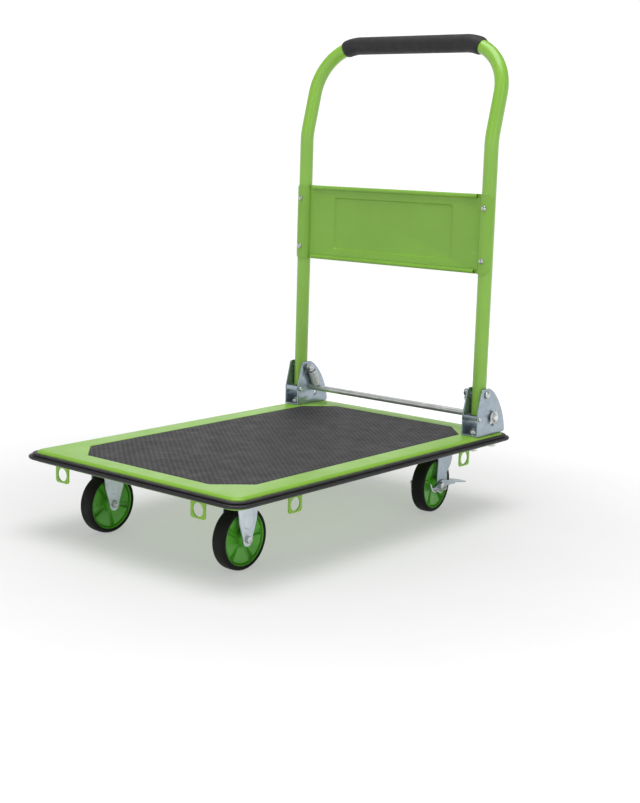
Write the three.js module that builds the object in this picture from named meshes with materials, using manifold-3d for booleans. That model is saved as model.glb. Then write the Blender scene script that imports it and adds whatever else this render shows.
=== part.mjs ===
// Folding platform cart: a pressed steel deck on two fixed and two swivelling casters, with a tubular
// push handle that folds down over the deck once a sprung lock rod is pressed.
// Millimetres. +X points forward, away from the handle, +Y to the left and +Z up.
// The origin is on the floor, below the middle of the deck.

import * as THREE from 'three';
import { mergeVertices } from 'three/addons/utils/BufferGeometryUtils.js';
import Module from 'manifold-3d';

// Clearance between pieces that touch on the real cart
const GAP = 0.3;
// How finely the rounded corners of plates are divided: half the steps of a quarter circle
const CORNER_SEGMENTS = 2;

// Deck
const DECK_LENGTH = 712;
const DECK_WIDTH = 452;
const DECK_CORNER = 17;
const DECK_TOP = 140;
const SKIRT_BOTTOM = 121.5;
const SHEET = 2;
const EDGE_ROUND = 5;
const MAT_LENGTH = 636;
const MAT_WIDTH = 366;
const MAT_CHAMFER = 48.5;
const MAT_THICKNESS = 2;
const RECESS_DEPTH = 2.5;

// Rubber bumper around the deck's skirt: a narrow upper rib and a wide lower rib
const BUMPER_OUTSET = 14;
const BUMPER_TOP = 135.6;
const BUMPER_BOTTOM = 126;
const UPPER_RIB_OUTSET = 8;
const UPPER_RIB_BOTTOM = 130.5;
const LOWER_RIB_TOP = 132.6;

// Tie-down loops
const LOOP_WIDTH = 30.5;
const LOOP_BOTTOM = 95.5;
const LOOP_TOP = 133;
const LOOP_THICKNESS = 2.5;
const LOOP_HOLE_Z = 109;
const LOOP_HOLE_RADIUS = 10.6;
const END_LOOP_Y = { left: 145.4, right: -156.8 };
const SIDE_LOOP_X = { front: 224.5, rear: -229.5 };

// Casters
const AXLE_Z = 50;
const FRONT_AXLE_X = 265;
const CASTER_Y = 148;
const SWIVEL_X = -261;
const TRAIL = 26;
const SWIVEL_ANGLE = THREE.MathUtils.degToRad(5.5);
const PLATE_TOP = 128;
const PLATE_THICKNESS = 2.5;
const PLATE_LENGTH = 85;
const PLATE_WIDTH = 60;
const LEG_INNER = 15.2;
const LEG_THICKNESS = 2.5;
const LEG_OUTER = LEG_INNER + LEG_THICKNESS;
const YOKE_TOP = 118;
const AXLE_RADIUS = 4;
const HEX_RADIUS = 7.5;
const HEAD_HEIGHT = 5.3;
const AXLE_HEX_RADIUS = 6.2;
const AXLE_HEAD_HEIGHT = 4.6;

// Wheels: the tyre's flats, not its corners, lie at the wheel radius
const WHEEL_SIDES = 32;
const WHEEL_RADIUS = 50;
const HUB_RADIUS = 42.4;
const TYRE_HALF_WIDTH = 13;
const RIM_HALF_WIDTH = 11.2;
const BOSS_RADIUS = 11;
const BOSS_HALF_WIDTH = 14.7;
const HUB_RIBS = 5;

// Brake pedal, around the rear axle
const PEDAL_THICKNESS = 2.2;
const PEDAL_INNER = LEG_OUTER + 0.5;
const PEDAL_OUTER = PEDAL_INNER + PEDAL_THICKNESS;

// Hinge brackets and handle pivot
const BRACKET_Y = 207;
const BRACKET_HALF_WIDTH = 16.5;
const BRACKET_SHEET = 2.5;
const BRACKET_FRONT = -266;
const BRACKET_REAR = -355.3;
const BRACKET_BASE = DECK_TOP + GAP;
const BRACKET_TOP = 224.5;
const STRIP_TOP = 177.5;
const STRIP_BOTTOM = 169;
const PIVOT_X = -292;
const PIVOT_Z = 213.4;
const PIVOT_RADIUS = 4.8;
const PIVOT_STUB_Y = 178;
const STOP_X = -272.8;
const STOP_Z = 171.4;
const STOP_RADIUS = 3;
const BOLT_X = { front: -281, rear: -341 };
const BOLT_RADIUS = 4;
const CHANNEL_BOTTOM = 119;

// Lock rod
const ROD_X = -315;
const ROD_Z = 170.8;
const ROD_RADIUS = 5.8;
const ROD_END_Y = 232;
const ROD_TRAVEL = 10;
const COTTER_Y = 229;
const WASHER_RADIUS = 11.5;
const SPRING_Y = 181.8;
const SPRING_RADIUS = 8.2;
const SPRING_HOOK = 8.5;

// Handle
const TUBE_RADIUS = 12.5;
const TUBE_BORE = 11;
const TUBE_BOTTOM = 176.5;
const KINK_Z = 658;
const KINK_RADIUS = 100;
const KINK_STEPS = 3;
const TOP_BAR_X = -335;
const TOP_BAR_Z = 823;
const CORNER_RADIUS = 90;
const CORNER_STEPS = 12;
const GRIP_RADIUS = 16;
const GRIP_CORNER_STEPS = 3;

// Back panel between the handle's tubes
const PANEL_BOTTOM = 425.5;
const PANEL_TOP = 564;
const PANEL_SHEET = 1.5;
const PANEL_FRONT = PIVOT_X + TUBE_RADIUS + GAP + PANEL_SHEET;
const PANEL_FACE = PANEL_FRONT - 12.8;
const PANEL_WRAP = THREE.MathUtils.degToRad(68);
const WRAP_CORNER = 8;
const HEM_RADIUS = 3.9;
const HEM_BORE = 2.4;
const HEM_HALF_LENGTH = 185.7;
const EMBOSS_HALF_LENGTH = 134;
const EMBOSS_MARGIN = 21.5;
const EMBOSS_DEPTH = 2.5;
const SCREW_Z = { upper: 540, lower: 449 };
const SCREW_RADIUS = 2.3;

const FINISH = {
  greenPaint: { color: 0x82bd38, roughness: 0.42, metalness: 0.1 },
  matRubber: { color: 0x4a4949, roughness: 0.85, metalness: 0 },
  bumperRubber: { color: 0x35333a, roughness: 0.7, metalness: 0 },
  tyreRubber: { color: 0x1d1c1c, roughness: 0.8, metalness: 0 },
  hubPlastic: { color: 0x3c8a2e, roughness: 0.45, metalness: 0 },
  zinc: { color: 0xa4b0bc, roughness: 0.38, metalness: 0.8 },
  steel: { color: 0xc4c7c9, roughness: 0.28, metalness: 0.9 },
  foam: { color: 0x2a2a2c, roughness: 0.9, metalness: 0 },
};

// ---------------------------------------------------------------- solids

const wasm = await Module();
wasm.setup();

function toSolid(geometry) {
  const bare = geometry.clone();
  bare.deleteAttribute('normal');
  bare.deleteAttribute('uv');
  const merged = mergeVertices(bare, 1e-4);
  const vertProperties = new Float32Array(merged.attributes.position.array);
  const triVerts = new Uint32Array(merged.index.array);
  return new wasm.Manifold(new wasm.Mesh({ numProp: 3, vertProperties, triVerts }));
}

function toGeometry(solid) {
  const { vertProperties, triVerts } = solid.getMesh();
  const geometry = new THREE.BufferGeometry();
  geometry.setAttribute('position', new THREE.BufferAttribute(vertProperties, 3));
  geometry.setIndex(new THREE.BufferAttribute(triVerts, 1));
  geometry.computeVertexNormals();
  return geometry;
}

// Joins some geometries into one body and cuts others out of it
function shaped(joined, removed = []) {
  let solid = joined.map(toSolid).reduce((whole, piece) => whole.add(piece));
  for (const tool of removed) {
    solid = solid.subtract(toSolid(tool));
  }
  return toGeometry(solid);
}

function box(x, y, z) {
  const size = [x, y, z].map(([low, high]) => Math.abs(high - low));
  const centre = [x, y, z].map(([low, high]) => (low + high) / 2);
  return new THREE.BoxGeometry(...size).translate(...centre);
}

// A round bar between two points; with 6 sides it is a hexagon
function bar(radius, start, end, sides = 16) {
  const from = new THREE.Vector3(...start);
  const run = new THREE.Vector3(...end).sub(from);
  const geometry = new THREE.CylinderGeometry(radius, radius, run.length(), sides);
  const turn = new THREE.Quaternion().setFromUnitVectors(new THREE.Vector3(0, 1, 0), run.clone().normalize());
  const centre = from.addScaledVector(run, 0.5);
  return geometry.applyQuaternion(turn).translate(centre.x, centre.y, centre.z);
}

// An outline drawn in X and Y, filled from z[0] up to z[1]
function plateXY(shape, z, options = {}) {
  const depth = z[1] - z[0];
  return new THREE.ExtrudeGeometry(shape, { depth, bevelEnabled: false, ...options }).translate(0, 0, z[0]);
}

// An outline drawn in X and Z, filled between two values of Y
function plateXZ(shape, y, options = {}) {
  const depth = Math.abs(y[1] - y[0]);
  const geometry = new THREE.ExtrudeGeometry(shape, { depth, bevelEnabled: false, ...options });
  return geometry.rotateX(Math.PI / 2).translate(0, Math.max(...y), 0);
}

// An outline drawn in Y and Z, filled between two values of X
function plateYZ(shape, x, options = {}) {
  const depth = Math.abs(x[1] - x[0]);
  const geometry = new THREE.ExtrudeGeometry(shape, { depth, bevelEnabled: false, ...options });
  const turn = new THREE.Matrix4().makeBasis(
    new THREE.Vector3(0, 1, 0),
    new THREE.Vector3(0, 0, 1),
    new THREE.Vector3(1, 0, 0),
  );
  return geometry.applyMatrix4(turn).translate(Math.min(...x), 0, 0);
}

function roundedRectangle(length, width, radius, centre = [0, 0]) {
  const right = centre[0] + length / 2 - radius;
  const left = centre[0] - length / 2 + radius;
  const top = centre[1] + width / 2 - radius;
  const bottom = centre[1] - width / 2 + radius;
  const shape = new THREE.Shape();
  shape.absarc(right, top, radius, 0, Math.PI / 2);
  shape.absarc(left, top, radius, Math.PI / 2, Math.PI);
  shape.absarc(left, bottom, radius, Math.PI, Math.PI * 1.5);
  shape.absarc(right, bottom, radius, Math.PI * 1.5, Math.PI * 2);
  return shape;
}

function polygon(points) {
  return new THREE.Shape(points.map(([x, y]) => new THREE.Vector2(x, y)));
}

// A rectangle with its four corners cut off
function octagon(length, width, chamfer) {
  const quarter = [[length / 2, width / 2 - chamfer], [length / 2 - chamfer, width / 2]];
  const points = [
    ...quarter,
    ...quarter.toReversed().map(([x, y]) => [-x, y]),
    ...quarter.map(([x, y]) => [-x, -y]),
    ...quarter.toReversed().map(([x, y]) => [x, -y]),
  ];
  return polygon(points);
}

// A slab of the deck's outline grown by an outset, its edges rounded above and below
function rimSlab(outset, z, round, segments) {
  const length = DECK_LENGTH + 2 * (outset - round);
  const width = DECK_WIDTH + 2 * (outset - round);
  const outline = roundedRectangle(length, width, DECK_CORNER + outset - round);
  return plateXY(outline, [z[0] + round, z[1] - round], {
    bevelEnabled: true,
    bevelSize: round,
    bevelThickness: round,
    bevelSegments: segments,
    curveSegments: CORNER_SEGMENTS,
  });
}

function lathed(profile, sides = WHEEL_SIDES) {
  return new THREE.LatheGeometry(profile.map(([r, y]) => new THREE.Vector2(r, y)), sides);
}

// ---------------------------------------------------------------- assembly

const cart = new THREE.Group();

function add(parent, name, geometry, finish) {
  const mesh = new THREE.Mesh(geometry, new THREE.MeshStandardMaterial(FINISH[finish]));
  mesh.name = name;
  parent.add(mesh);
  return mesh;
}

// ---------------------------------------------------------------- deck

const SIDES = { left: 1, right: -1 };

// Where the bracket bolts stand
function boltPlaces() {
  const places = [];
  for (const [sideName, side] of Object.entries(SIDES)) {
    for (const [endName, x] of Object.entries(BOLT_X)) {
      places.push({ name: `bracket_bolt_${sideName}_${endName}`, x, y: side * BRACKET_Y });
    }
  }
  return places;
}

// A tray of sheet steel: a flat rim, a pressed recess for the mat and a skirt all round
function deckPan() {
  const trim = [DECK_LENGTH, DECK_WIDTH];
  const outer = rimSlab(0, [SKIRT_BOTTOM - 2 * EDGE_ROUND, DECK_TOP], EDGE_ROUND, 3);
  const below = box([-trim[0], trim[0]], [-trim[1], trim[1]], [0, SKIRT_BOTTOM]);
  const insideOutline = roundedRectangle(DECK_LENGTH - 2 * SHEET, DECK_WIDTH - 2 * SHEET, DECK_CORNER - SHEET);
  const inside = plateXY(insideOutline, [SKIRT_BOTTOM - 1, DECK_TOP - SHEET], { curveSegments: CORNER_SEGMENTS });
  const floorZ = DECK_TOP - RECESS_DEPTH;
  const recess = plateXY(octagon(MAT_LENGTH + 2 * GAP, MAT_WIDTH + 2 * GAP, MAT_CHAMFER), [floorZ, DECK_TOP + 1]);
  const pressed = octagon(MAT_LENGTH + 2 * SHEET, MAT_WIDTH + 2 * SHEET, MAT_CHAMFER);
  const pressedSheet = plateXY(pressed, [floorZ - SHEET, DECK_TOP - SHEET + 1]);
  const holes = boltPlaces().map(({ x, y }) => bar(BOLT_RADIUS + GAP, [x, y, DECK_TOP + 1], [x, y, 130], 16));
  const shell = toSolid(outer).subtract(toSolid(below)).subtract(toSolid(inside));
  let pan = shell.add(toSolid(pressedSheet)).subtract(toSolid(recess));
  for (const hole of holes) {
    pan = pan.subtract(toSolid(hole));
  }
  return toGeometry(pan);
}

function deckMat() {
  const bottom = DECK_TOP - RECESS_DEPTH + GAP;
  return plateXY(octagon(MAT_LENGTH, MAT_WIDTH, MAT_CHAMFER), [bottom, bottom + MAT_THICKNESS]);
}

function edgeBumper() {
  const upperRib = rimSlab(UPPER_RIB_OUTSET, [UPPER_RIB_BOTTOM, BUMPER_TOP], 2.2, 2);
  const lowerRib = rimSlab(BUMPER_OUTSET, [BUMPER_BOTTOM, LOWER_RIB_TOP], 3, 3);
  const boreOutline = roundedRectangle(DECK_LENGTH + 2 * GAP, DECK_WIDTH + 2 * GAP, DECK_CORNER + GAP);
  const bore = plateXY(boreOutline, [BUMPER_BOTTOM - 5, BUMPER_TOP + 5], { curveSegments: CORNER_SEGMENTS });
  return shaped([upperRib, lowerRib], [bore]);
}

// A hat-shaped channel across the underside, which the caster plates are bolted to
function crossMember(centreX) {
  const top = DECK_TOP - RECESS_DEPTH - SHEET - GAP;
  const bottom = PLATE_TOP + GAP;
  const web = 46;
  const flange = 60;
  const sheet = 1.5;
  const half = [
    [web, bottom],
    [web, top - sheet],
    [flange, top - sheet],
    [flange, top],
    [web - sheet, top],
    [web - sheet, bottom + sheet],
  ];
  const points = [...half, ...half.toReversed().map(([x, z]) => [-x, z])];
  const hat = polygon(points.map(([x, z]) => [centreX + x, z]));
  return plateXZ(hat, [-182, 182]);
}

// A short channel under each hinge bracket, which spreads the load of its bolts
function mountChannel(side) {
  const halfWidth = 13;
  const wall = 2.5;
  const top = DECK_TOP - SHEET - GAP;
  const section = polygon([
    [-halfWidth, top],
    [-halfWidth, CHANNEL_BOTTOM],
    [halfWidth, CHANNEL_BOTTOM],
    [halfWidth, top],
    [halfWidth - wall, top],
    [halfWidth - wall, CHANNEL_BOTTOM + wall],
    [-halfWidth + wall, CHANNEL_BOTTOM + wall],
    [-halfWidth + wall, top],
  ].map(([y, z]) => [side * BRACKET_Y + y, z]));
  const channel = plateYZ(section, [BRACKET_REAR + 7, BRACKET_FRONT - 3]);
  const holes = Object.values(BOLT_X).map((x) => {
    const y = side * BRACKET_Y;
    return bar(BOLT_RADIUS + GAP, [x, y, CHANNEL_BOTTOM - 1], [x, y, CHANNEL_BOTTOM + 5], 16);
  });
  return shaped([channel], holes);
}

// A flat eye whose upper half is fixed inside the skirt. It is drawn about its own centre line.
function loopOutline(centre) {
  const half = LOOP_WIDTH / 2;
  const corner = 5;
  const shape = new THREE.Shape();
  shape.moveTo(centre - half, LOOP_TOP);
  shape.lineTo(centre - half, LOOP_BOTTOM + corner);
  shape.absarc(centre - half + corner, LOOP_BOTTOM + corner, corner, Math.PI, Math.PI * 1.5);
  shape.absarc(centre + half - corner, LOOP_BOTTOM + corner, corner, Math.PI * 1.5, Math.PI * 2);
  shape.lineTo(centre + half, LOOP_TOP);
  shape.closePath();
  const hole = new THREE.Path();
  hole.absarc(centre, LOOP_HOLE_Z, LOOP_HOLE_RADIUS, 0, Math.PI * 2);
  shape.holes.push(hole);
  return shape;
}

function endLoop(y) {
  const outer = DECK_LENGTH / 2 - SHEET - GAP;
  return plateYZ(loopOutline(y), [outer - LOOP_THICKNESS, outer], { curveSegments: 4 });
}

function sideLoop(x, side) {
  const outer = side * (DECK_WIDTH / 2 - SHEET - GAP);
  return plateXZ(loopOutline(x), [outer, outer - side * LOOP_THICKNESS], { curveSegments: 4 });
}

// ---------------------------------------------------------------- hinge brackets

// One cheek: an upright front edge, a sloping one above the strip and a long curve at the back
function cheekOutline() {
  const shape = new THREE.Shape();
  shape.moveTo(BRACKET_FRONT, BRACKET_BASE);
  shape.lineTo(BRACKET_FRONT, STRIP_TOP);
  shape.lineTo(BRACKET_FRONT - 10.8, BRACKET_TOP - 6);
  shape.quadraticCurveTo(BRACKET_FRONT - 12, BRACKET_TOP, BRACKET_FRONT - 18, BRACKET_TOP);
  shape.lineTo(BRACKET_FRONT - 34, BRACKET_TOP);
  shape.bezierCurveTo(-322, 219, -350, 182, BRACKET_REAR + 0.8, 150);
  shape.lineTo(BRACKET_REAR, BRACKET_BASE + 5);
  shape.quadraticCurveTo(BRACKET_REAR, BRACKET_BASE, BRACKET_REAR + 5, BRACKET_BASE);
  shape.closePath();
  return shape;
}

// The upright slot that guides the rod
function rodSlot(y) {
  const radius = ROD_RADIUS + 0.5;
  const foot = ROD_Z - ROD_TRAVEL;
  return [
    bar(radius, [ROD_X, y[0], ROD_Z], [ROD_X, y[1], ROD_Z], 16),
    bar(radius, [ROD_X, y[0], foot], [ROD_X, y[1], foot], 16),
    box([ROD_X - radius, ROD_X + radius], y, [foot, ROD_Z]),
  ];
}

function hingeBracket(side) {
  const inner = side * (BRACKET_Y - BRACKET_HALF_WIDTH);
  const outer = side * (BRACKET_Y + BRACKET_HALF_WIDTH);
  const sheet = side * BRACKET_SHEET;
  const through = [inner - side * 5, outer + side * 5];
  const cheeks = [
    plateXZ(cheekOutline(), [inner, inner + sheet], { curveSegments: 5 }),
    plateXZ(cheekOutline(), [outer - sheet, outer], { curveSegments: 5 }),
  ];
  const rear = BRACKET_REAR + 6;
  const base = box([rear, BRACKET_FRONT], [inner, outer], [BRACKET_BASE, BRACKET_BASE + BRACKET_SHEET]);
  const strip = box([BRACKET_FRONT - BRACKET_SHEET, BRACKET_FRONT], [inner, outer], [STRIP_BOTTOM, STRIP_TOP]);
  const holes = [
    bar(PIVOT_RADIUS + GAP, [PIVOT_X, through[0], PIVOT_Z], [PIVOT_X, through[1], PIVOT_Z]),
    bar(STOP_RADIUS + GAP, [STOP_X, through[0], STOP_Z], [STOP_X, through[1], STOP_Z], 16),
    ...rodSlot(through),
    ...Object.values(BOLT_X).map((x) => {
      const y = side * BRACKET_Y;
      return bar(BOLT_RADIUS + GAP, [x, y, BRACKET_BASE - 2], [x, y, BRACKET_BASE + 6], 16);
    }),
  ];
  return shaped([...cheeks, base, strip], holes);
}

// A hexagon bolt from below the channel, with its nut and thread end above the bracket's base
function bracketBolt(x, y) {
  const seat = BRACKET_BASE + BRACKET_SHEET + GAP;
  const headTop = CHANNEL_BOTTOM - GAP;
  const up = (z) => [x, y, z];
  return shaped([
    bar(BOLT_RADIUS, up(headTop - 4), up(seat + 10), 12),
    bar(HEX_RADIUS, up(seat), up(seat + 6.5), 6),
    bar(8.5, up(headTop - 1.5), up(headTop)),
    bar(HEX_RADIUS, up(headTop - 1.4 - HEAD_HEIGHT), up(headTop - 1.4), 6),
  ]);
}

// The handle turns on this bolt: a domed head outside, a nut inside and a stub for the spring's hook
function pivotBolt(side) {
  const outer = BRACKET_Y + BRACKET_HALF_WIDTH + GAP;
  const inner = BRACKET_Y - BRACKET_HALF_WIDTH - GAP;
  const profile = [
    [0, PIVOT_STUB_Y],
    [PIVOT_RADIUS - 1, PIVOT_STUB_Y],
    [PIVOT_RADIUS, PIVOT_STUB_Y + 1],
    [PIVOT_RADIUS, outer],
    [6.6, outer],
    [6.6, outer + 1.8],
    [4.6, outer + 3.8],
    [0, outer + 4.6],
  ];
  const shank = lathed(profile, 16).scale(1, side, 1);
  const bolt = side > 0 ? shank : shank.clone().scale(-1, 1, 1);
  const nut = bar(HEX_RADIUS, [0, side * (inner - 4.6), 0], [0, side * inner, 0], 6);
  const retainer = bar(6.6, [0, side * PIVOT_STUB_Y, 0], [0, side * (PIVOT_STUB_Y + 1.6), 0]);
  return shaped([bolt, nut, retainer]).translate(PIVOT_X, 0, PIVOT_Z);
}

function stopPin(side) {
  const half = BRACKET_HALF_WIDTH + GAP;
  const at = (y) => [STOP_X, side * (BRACKET_Y + y), STOP_Z];
  return shaped([
    bar(STOP_RADIUS, at(-half - 1.5), at(half + 1.5), 16),
    bar(STOP_RADIUS + 1.4, at(half), at(half + 1.8), 16),
    bar(STOP_RADIUS + 1.4, at(-half - 1.8), at(-half), 16),
  ]);
}

// ---------------------------------------------------------------- lock rod

function lockRod() {
  const rod = bar(ROD_RADIUS, [ROD_X, -ROD_END_Y, ROD_Z], [ROD_X, ROD_END_Y, ROD_Z], 16);
  const pinHoles = [-COTTER_Y, COTTER_Y].map((y) => {
    return bar(1.7, [ROD_X, y, ROD_Z - 9], [ROD_X, y, ROD_Z + 9], 12);
  });
  return shaped([rod], pinHoles);
}

function rodWasher(side) {
  const inner = ROD_RADIUS + GAP;
  const profile = [[inner, 0], [WASHER_RADIUS, 0], [WASHER_RADIUS, 1.6], [inner, 1.6], [inner, 0]];
  const start = BRACKET_Y + BRACKET_HALF_WIDTH + 2;
  const y = side > 0 ? start : -start - 1.6;
  return lathed(profile, 16).translate(ROD_X, y, ROD_Z);
}

// A split pin through the rod's end: an eye above and two spread legs below
function cotterPin(side) {
  const y = side * COTTER_Y;
  const at = (x, z) => [ROD_X + x, y, ROD_Z + z];
  const eye = new THREE.TorusGeometry(2.7, 1.1, 6, 10).rotateX(Math.PI / 2).translate(ROD_X, y, ROD_Z + 10.3);
  return shaped([
    eye,
    bar(1.3, at(0, -7), at(0, 8.5), 10),
    bar(1, at(0, -6), at(-4.5, -11.5), 8),
    bar(1, at(0, -6), at(4, -12.5), 8),
  ]);
}

// The space that each coiled extension spring fills, between its two hooks
function springBody(side) {
  const y = side * SPRING_Y;
  const top = new THREE.Vector3(PIVOT_X, y, PIVOT_Z);
  const foot = new THREE.Vector3(ROD_X, y, ROD_Z);
  const hook = foot.clone().sub(top).setLength(SPRING_HOOK);
  const start = top.clone().add(hook);
  const end = foot.clone().sub(hook);
  return bar(SPRING_RADIUS, start.toArray(), end.toArray(), 16);
}

// ---------------------------------------------------------------- handle

// A path that is sampled only at chosen stations, so that straight runs take one step
class StationPath extends THREE.Curve {
  constructor(stations) {
    super();
    this.stations = stations;
  }

  station(u) {
    return this.stations[Math.round(u * (this.stations.length - 1))];
  }

  getPointAt(u, target = new THREE.Vector3()) {
    return target.copy(this.station(u).point);
  }

  getTangentAt(u, target = new THREE.Vector3()) {
    return target.copy(this.station(u).tangent);
  }
}

const KINK_ANGLE = Math.atan2(PIVOT_X - TOP_BAR_X, TOP_BAR_Z - KINK_Z);
const RISE = new THREE.Vector3(-Math.sin(KINK_ANGLE), 0, Math.cos(KINK_ANGLE));

// The corner between a side tube and the top bar, from the tube's end of it
function cornerStations(side, steps) {
  const inward = new THREE.Vector3(0, -side, 0);
  const centre = new THREE.Vector3(TOP_BAR_X, side * (BRACKET_Y - CORNER_RADIUS), TOP_BAR_Z);
  centre.addScaledVector(RISE, -CORNER_RADIUS);
  const stations = [];
  for (let i = CORNER_STEPS - steps; i <= CORNER_STEPS; i += 1) {
    const turn = (i / CORNER_STEPS) * (Math.PI / 2);
    const point = centre.clone();
    point.addScaledVector(RISE, CORNER_RADIUS * Math.sin(turn));
    point.addScaledVector(inward, -CORNER_RADIUS * Math.cos(turn));
    const tangent = RISE.clone().multiplyScalar(Math.cos(turn)).addScaledVector(inward, Math.sin(turn));
    stations.push({ point, tangent });
  }
  return stations;
}

// The upright tube of one side and the bend in it
function legStations(side) {
  const y = side * BRACKET_Y;
  const bendStart = KINK_Z - KINK_RADIUS * Math.tan(KINK_ANGLE / 2);
  const stations = [{ point: new THREE.Vector3(PIVOT_X, y, TUBE_BOTTOM), tangent: new THREE.Vector3(0, 0, 1) }];
  for (let i = 0; i <= KINK_STEPS; i += 1) {
    const turn = (i / KINK_STEPS) * KINK_ANGLE;
    const x = PIVOT_X - KINK_RADIUS * (1 - Math.cos(turn));
    const point = new THREE.Vector3(x, y, bendStart + KINK_RADIUS * Math.sin(turn));
    stations.push({ point, tangent: new THREE.Vector3(-Math.sin(turn), 0, Math.cos(turn)) });
  }
  return stations;
}

// Stations that run up one side, across and down the other
function acrossBothSides(halfPath) {
  const down = halfPath(-1).toReversed().map(({ point, tangent }) => ({ point, tangent: tangent.negate() }));
  return new StationPath([...halfPath(1), ...down]);
}

function hollowSection(outer, inner) {
  const section = new THREE.Shape().absarc(0, 0, outer, 0, Math.PI * 2);
  section.holes.push(new THREE.Path().absarc(0, 0, inner, 0, Math.PI * 2));
  return section;
}

function tubeAlong(path, outer, inner) {
  const steps = path.stations.length - 1;
  return new THREE.ExtrudeGeometry(hollowSection(outer, inner), {
    steps,
    curveSegments: 7,
    extrudePath: path,
  });
}

function handleTube() {
  const path = acrossBothSides((side) => [...legStations(side), ...cornerStations(side, CORNER_STEPS)]);
  const holes = [];
  for (const side of Object.values(SIDES)) {
    const y = side * BRACKET_Y;
    const pivot = PIVOT_RADIUS + GAP;
    holes.push(bar(pivot, [PIVOT_X, y - 20, PIVOT_Z], [PIVOT_X, y + 20, PIVOT_Z]));
    for (const z of Object.values(SCREW_Z)) {
      holes.push(bar(SCREW_RADIUS + GAP, [PIVOT_X, y, z], [PIVOT_X + 20, y, z], 12));
    }
  }
  return shaped([tubeAlong(path, TUBE_RADIUS, TUBE_BORE)], holes);
}

function foamGrip() {
  const path = acrossBothSides((side) => cornerStations(side, GRIP_CORNER_STEPS));
  return tubeAlong(path, GRIP_RADIUS, TUBE_RADIUS + GAP);
}

// The panel seen from above: wrapped round the front of both tubes and set back between them
function panelOutline() {
  const inner = TUBE_RADIUS + GAP;
  const outer = inner + PANEL_SHEET;
  const frontTurn = Math.acos((PANEL_FACE - PIVOT_X) / outer);
  const rearTurn = Math.acos((PANEL_FACE - PANEL_SHEET - PIVOT_X) / inner);
  const shape = new THREE.Shape();
  shape.absarc(PIVOT_X, BRACKET_Y, outer, -frontTurn, PANEL_WRAP);
  shape.absarc(PIVOT_X, BRACKET_Y, inner, PANEL_WRAP, -rearTurn, true);
  shape.absarc(PIVOT_X, -BRACKET_Y, inner, rearTurn, -PANEL_WRAP, true);
  shape.absarc(PIVOT_X, -BRACKET_Y, outer, -PANEL_WRAP, frontTurn);
  shape.closePath();
  return shape;
}

// The cuts that slope the outer corners of the two wraps
function wrapCorners() {
  const cuts = [];
  for (const side of Object.values(SIDES)) {
    for (const [z, up] of [[PANEL_TOP, 1], [PANEL_BOTTOM, -1]]) {
      const end = side * (BRACKET_Y + TUBE_RADIUS + 3);
      const corner = polygon([
        [side * (BRACKET_Y + 3), z + up],
        [end, z + up],
        [end, z - up * WRAP_CORNER],
      ]);
      cuts.push(plateYZ(corner, [PANEL_FRONT - 20, PANEL_FRONT + 2]));
    }
  }
  return cuts;
}

// A sheet with a pressed recess, whose top and bottom edges are rolled forward into hollow hems
function backPanel() {
  const rear = PANEL_FACE - PANEL_SHEET;
  const middleZ = (PANEL_TOP + PANEL_BOTTOM) / 2;
  const embossHeight = PANEL_TOP - PANEL_BOTTOM - 2 * EMBOSS_MARGIN;
  const slope = 2.5;
  const emboss = (grow, x) => {
    const length = 2 * (EMBOSS_HALF_LENGTH + grow - slope);
    const outline = roundedRectangle(length, embossHeight + 2 * (grow - slope), 4, [0, middleZ]);
    return plateYZ(outline, x, {
      bevelEnabled: true,
      bevelSize: slope,
      bevelThickness: EMBOSS_DEPTH,
      bevelSegments: 1,
      curveSegments: 3,
    });
  };
  const hem = (z, radius, reach) => {
    const x = PANEL_FACE + HEM_BORE + 0.2;
    return bar(radius, [x, -reach, z], [x, reach, z], 16);
  };
  const hemHeights = [PANEL_TOP - HEM_RADIUS, PANEL_BOTTOM + HEM_RADIUS];
  const screwHoles = [];
  for (const side of Object.values(SIDES)) {
    for (const z of Object.values(SCREW_Z)) {
      const y = side * BRACKET_Y;
      screwHoles.push(bar(SCREW_RADIUS + GAP, [PANEL_FRONT - 6, y, z], [PANEL_FRONT + 5, y, z], 12));
    }
  }
  const backing = emboss(PANEL_SHEET, [rear, rear + 0.5]);
  const hollow = emboss(0, [PANEL_FACE, PANEL_FACE + 2]);
  const front = box([PANEL_FACE, PANEL_FACE + 9], [-170, 170], [PANEL_BOTTOM + 12, PANEL_TOP - 12]);
  return shaped([
    plateXY(panelOutline(), [PANEL_BOTTOM, PANEL_TOP], { curveSegments: 6 }),
    ...hemHeights.map((z) => hem(z, HEM_RADIUS, HEM_HALF_LENGTH)),
    backing,
  ], [
    front,
    hollow,
    ...hemHeights.map((z) => hem(z, HEM_BORE, HEM_HALF_LENGTH + 1)),
    ...wrapCorners(),
    ...screwHoles,
  ]);
}

function panelScrew(y, z) {
  const seat = PANEL_FRONT + GAP;
  const along = (x) => [x, y, z];
  return shaped([
    bar(SCREW_RADIUS, along(PIVOT_X + 5), along(seat + 1), 12),
    bar(4.6, along(seat), along(seat + 1.4), 16),
    bar(3.4, along(seat + 1), along(seat + 2.6), 16),
  ]);
}

// ---------------------------------------------------------------- casters

function tyre() {
  const reach = WHEEL_RADIUS / Math.cos(Math.PI / WHEEL_SIDES);
  const bore = HUB_RADIUS + GAP;
  const half = TYRE_HALF_WIDTH;
  const profile = [
    [bore, -RIM_HALF_WIDTH],
    [reach - 5.5, -half],
    [reach - 1.8, -half + 2.2],
    [reach, -half + 5.5],
    [reach, half - 5.5],
    [reach - 1.8, half - 2.2],
    [reach - 5.5, half],
    [bore, RIM_HALF_WIDTH],
    [bore, -RIM_HALF_WIDTH],
  ];
  return lathed(profile).rotateY(Math.PI / WHEEL_SIDES);
}

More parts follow.
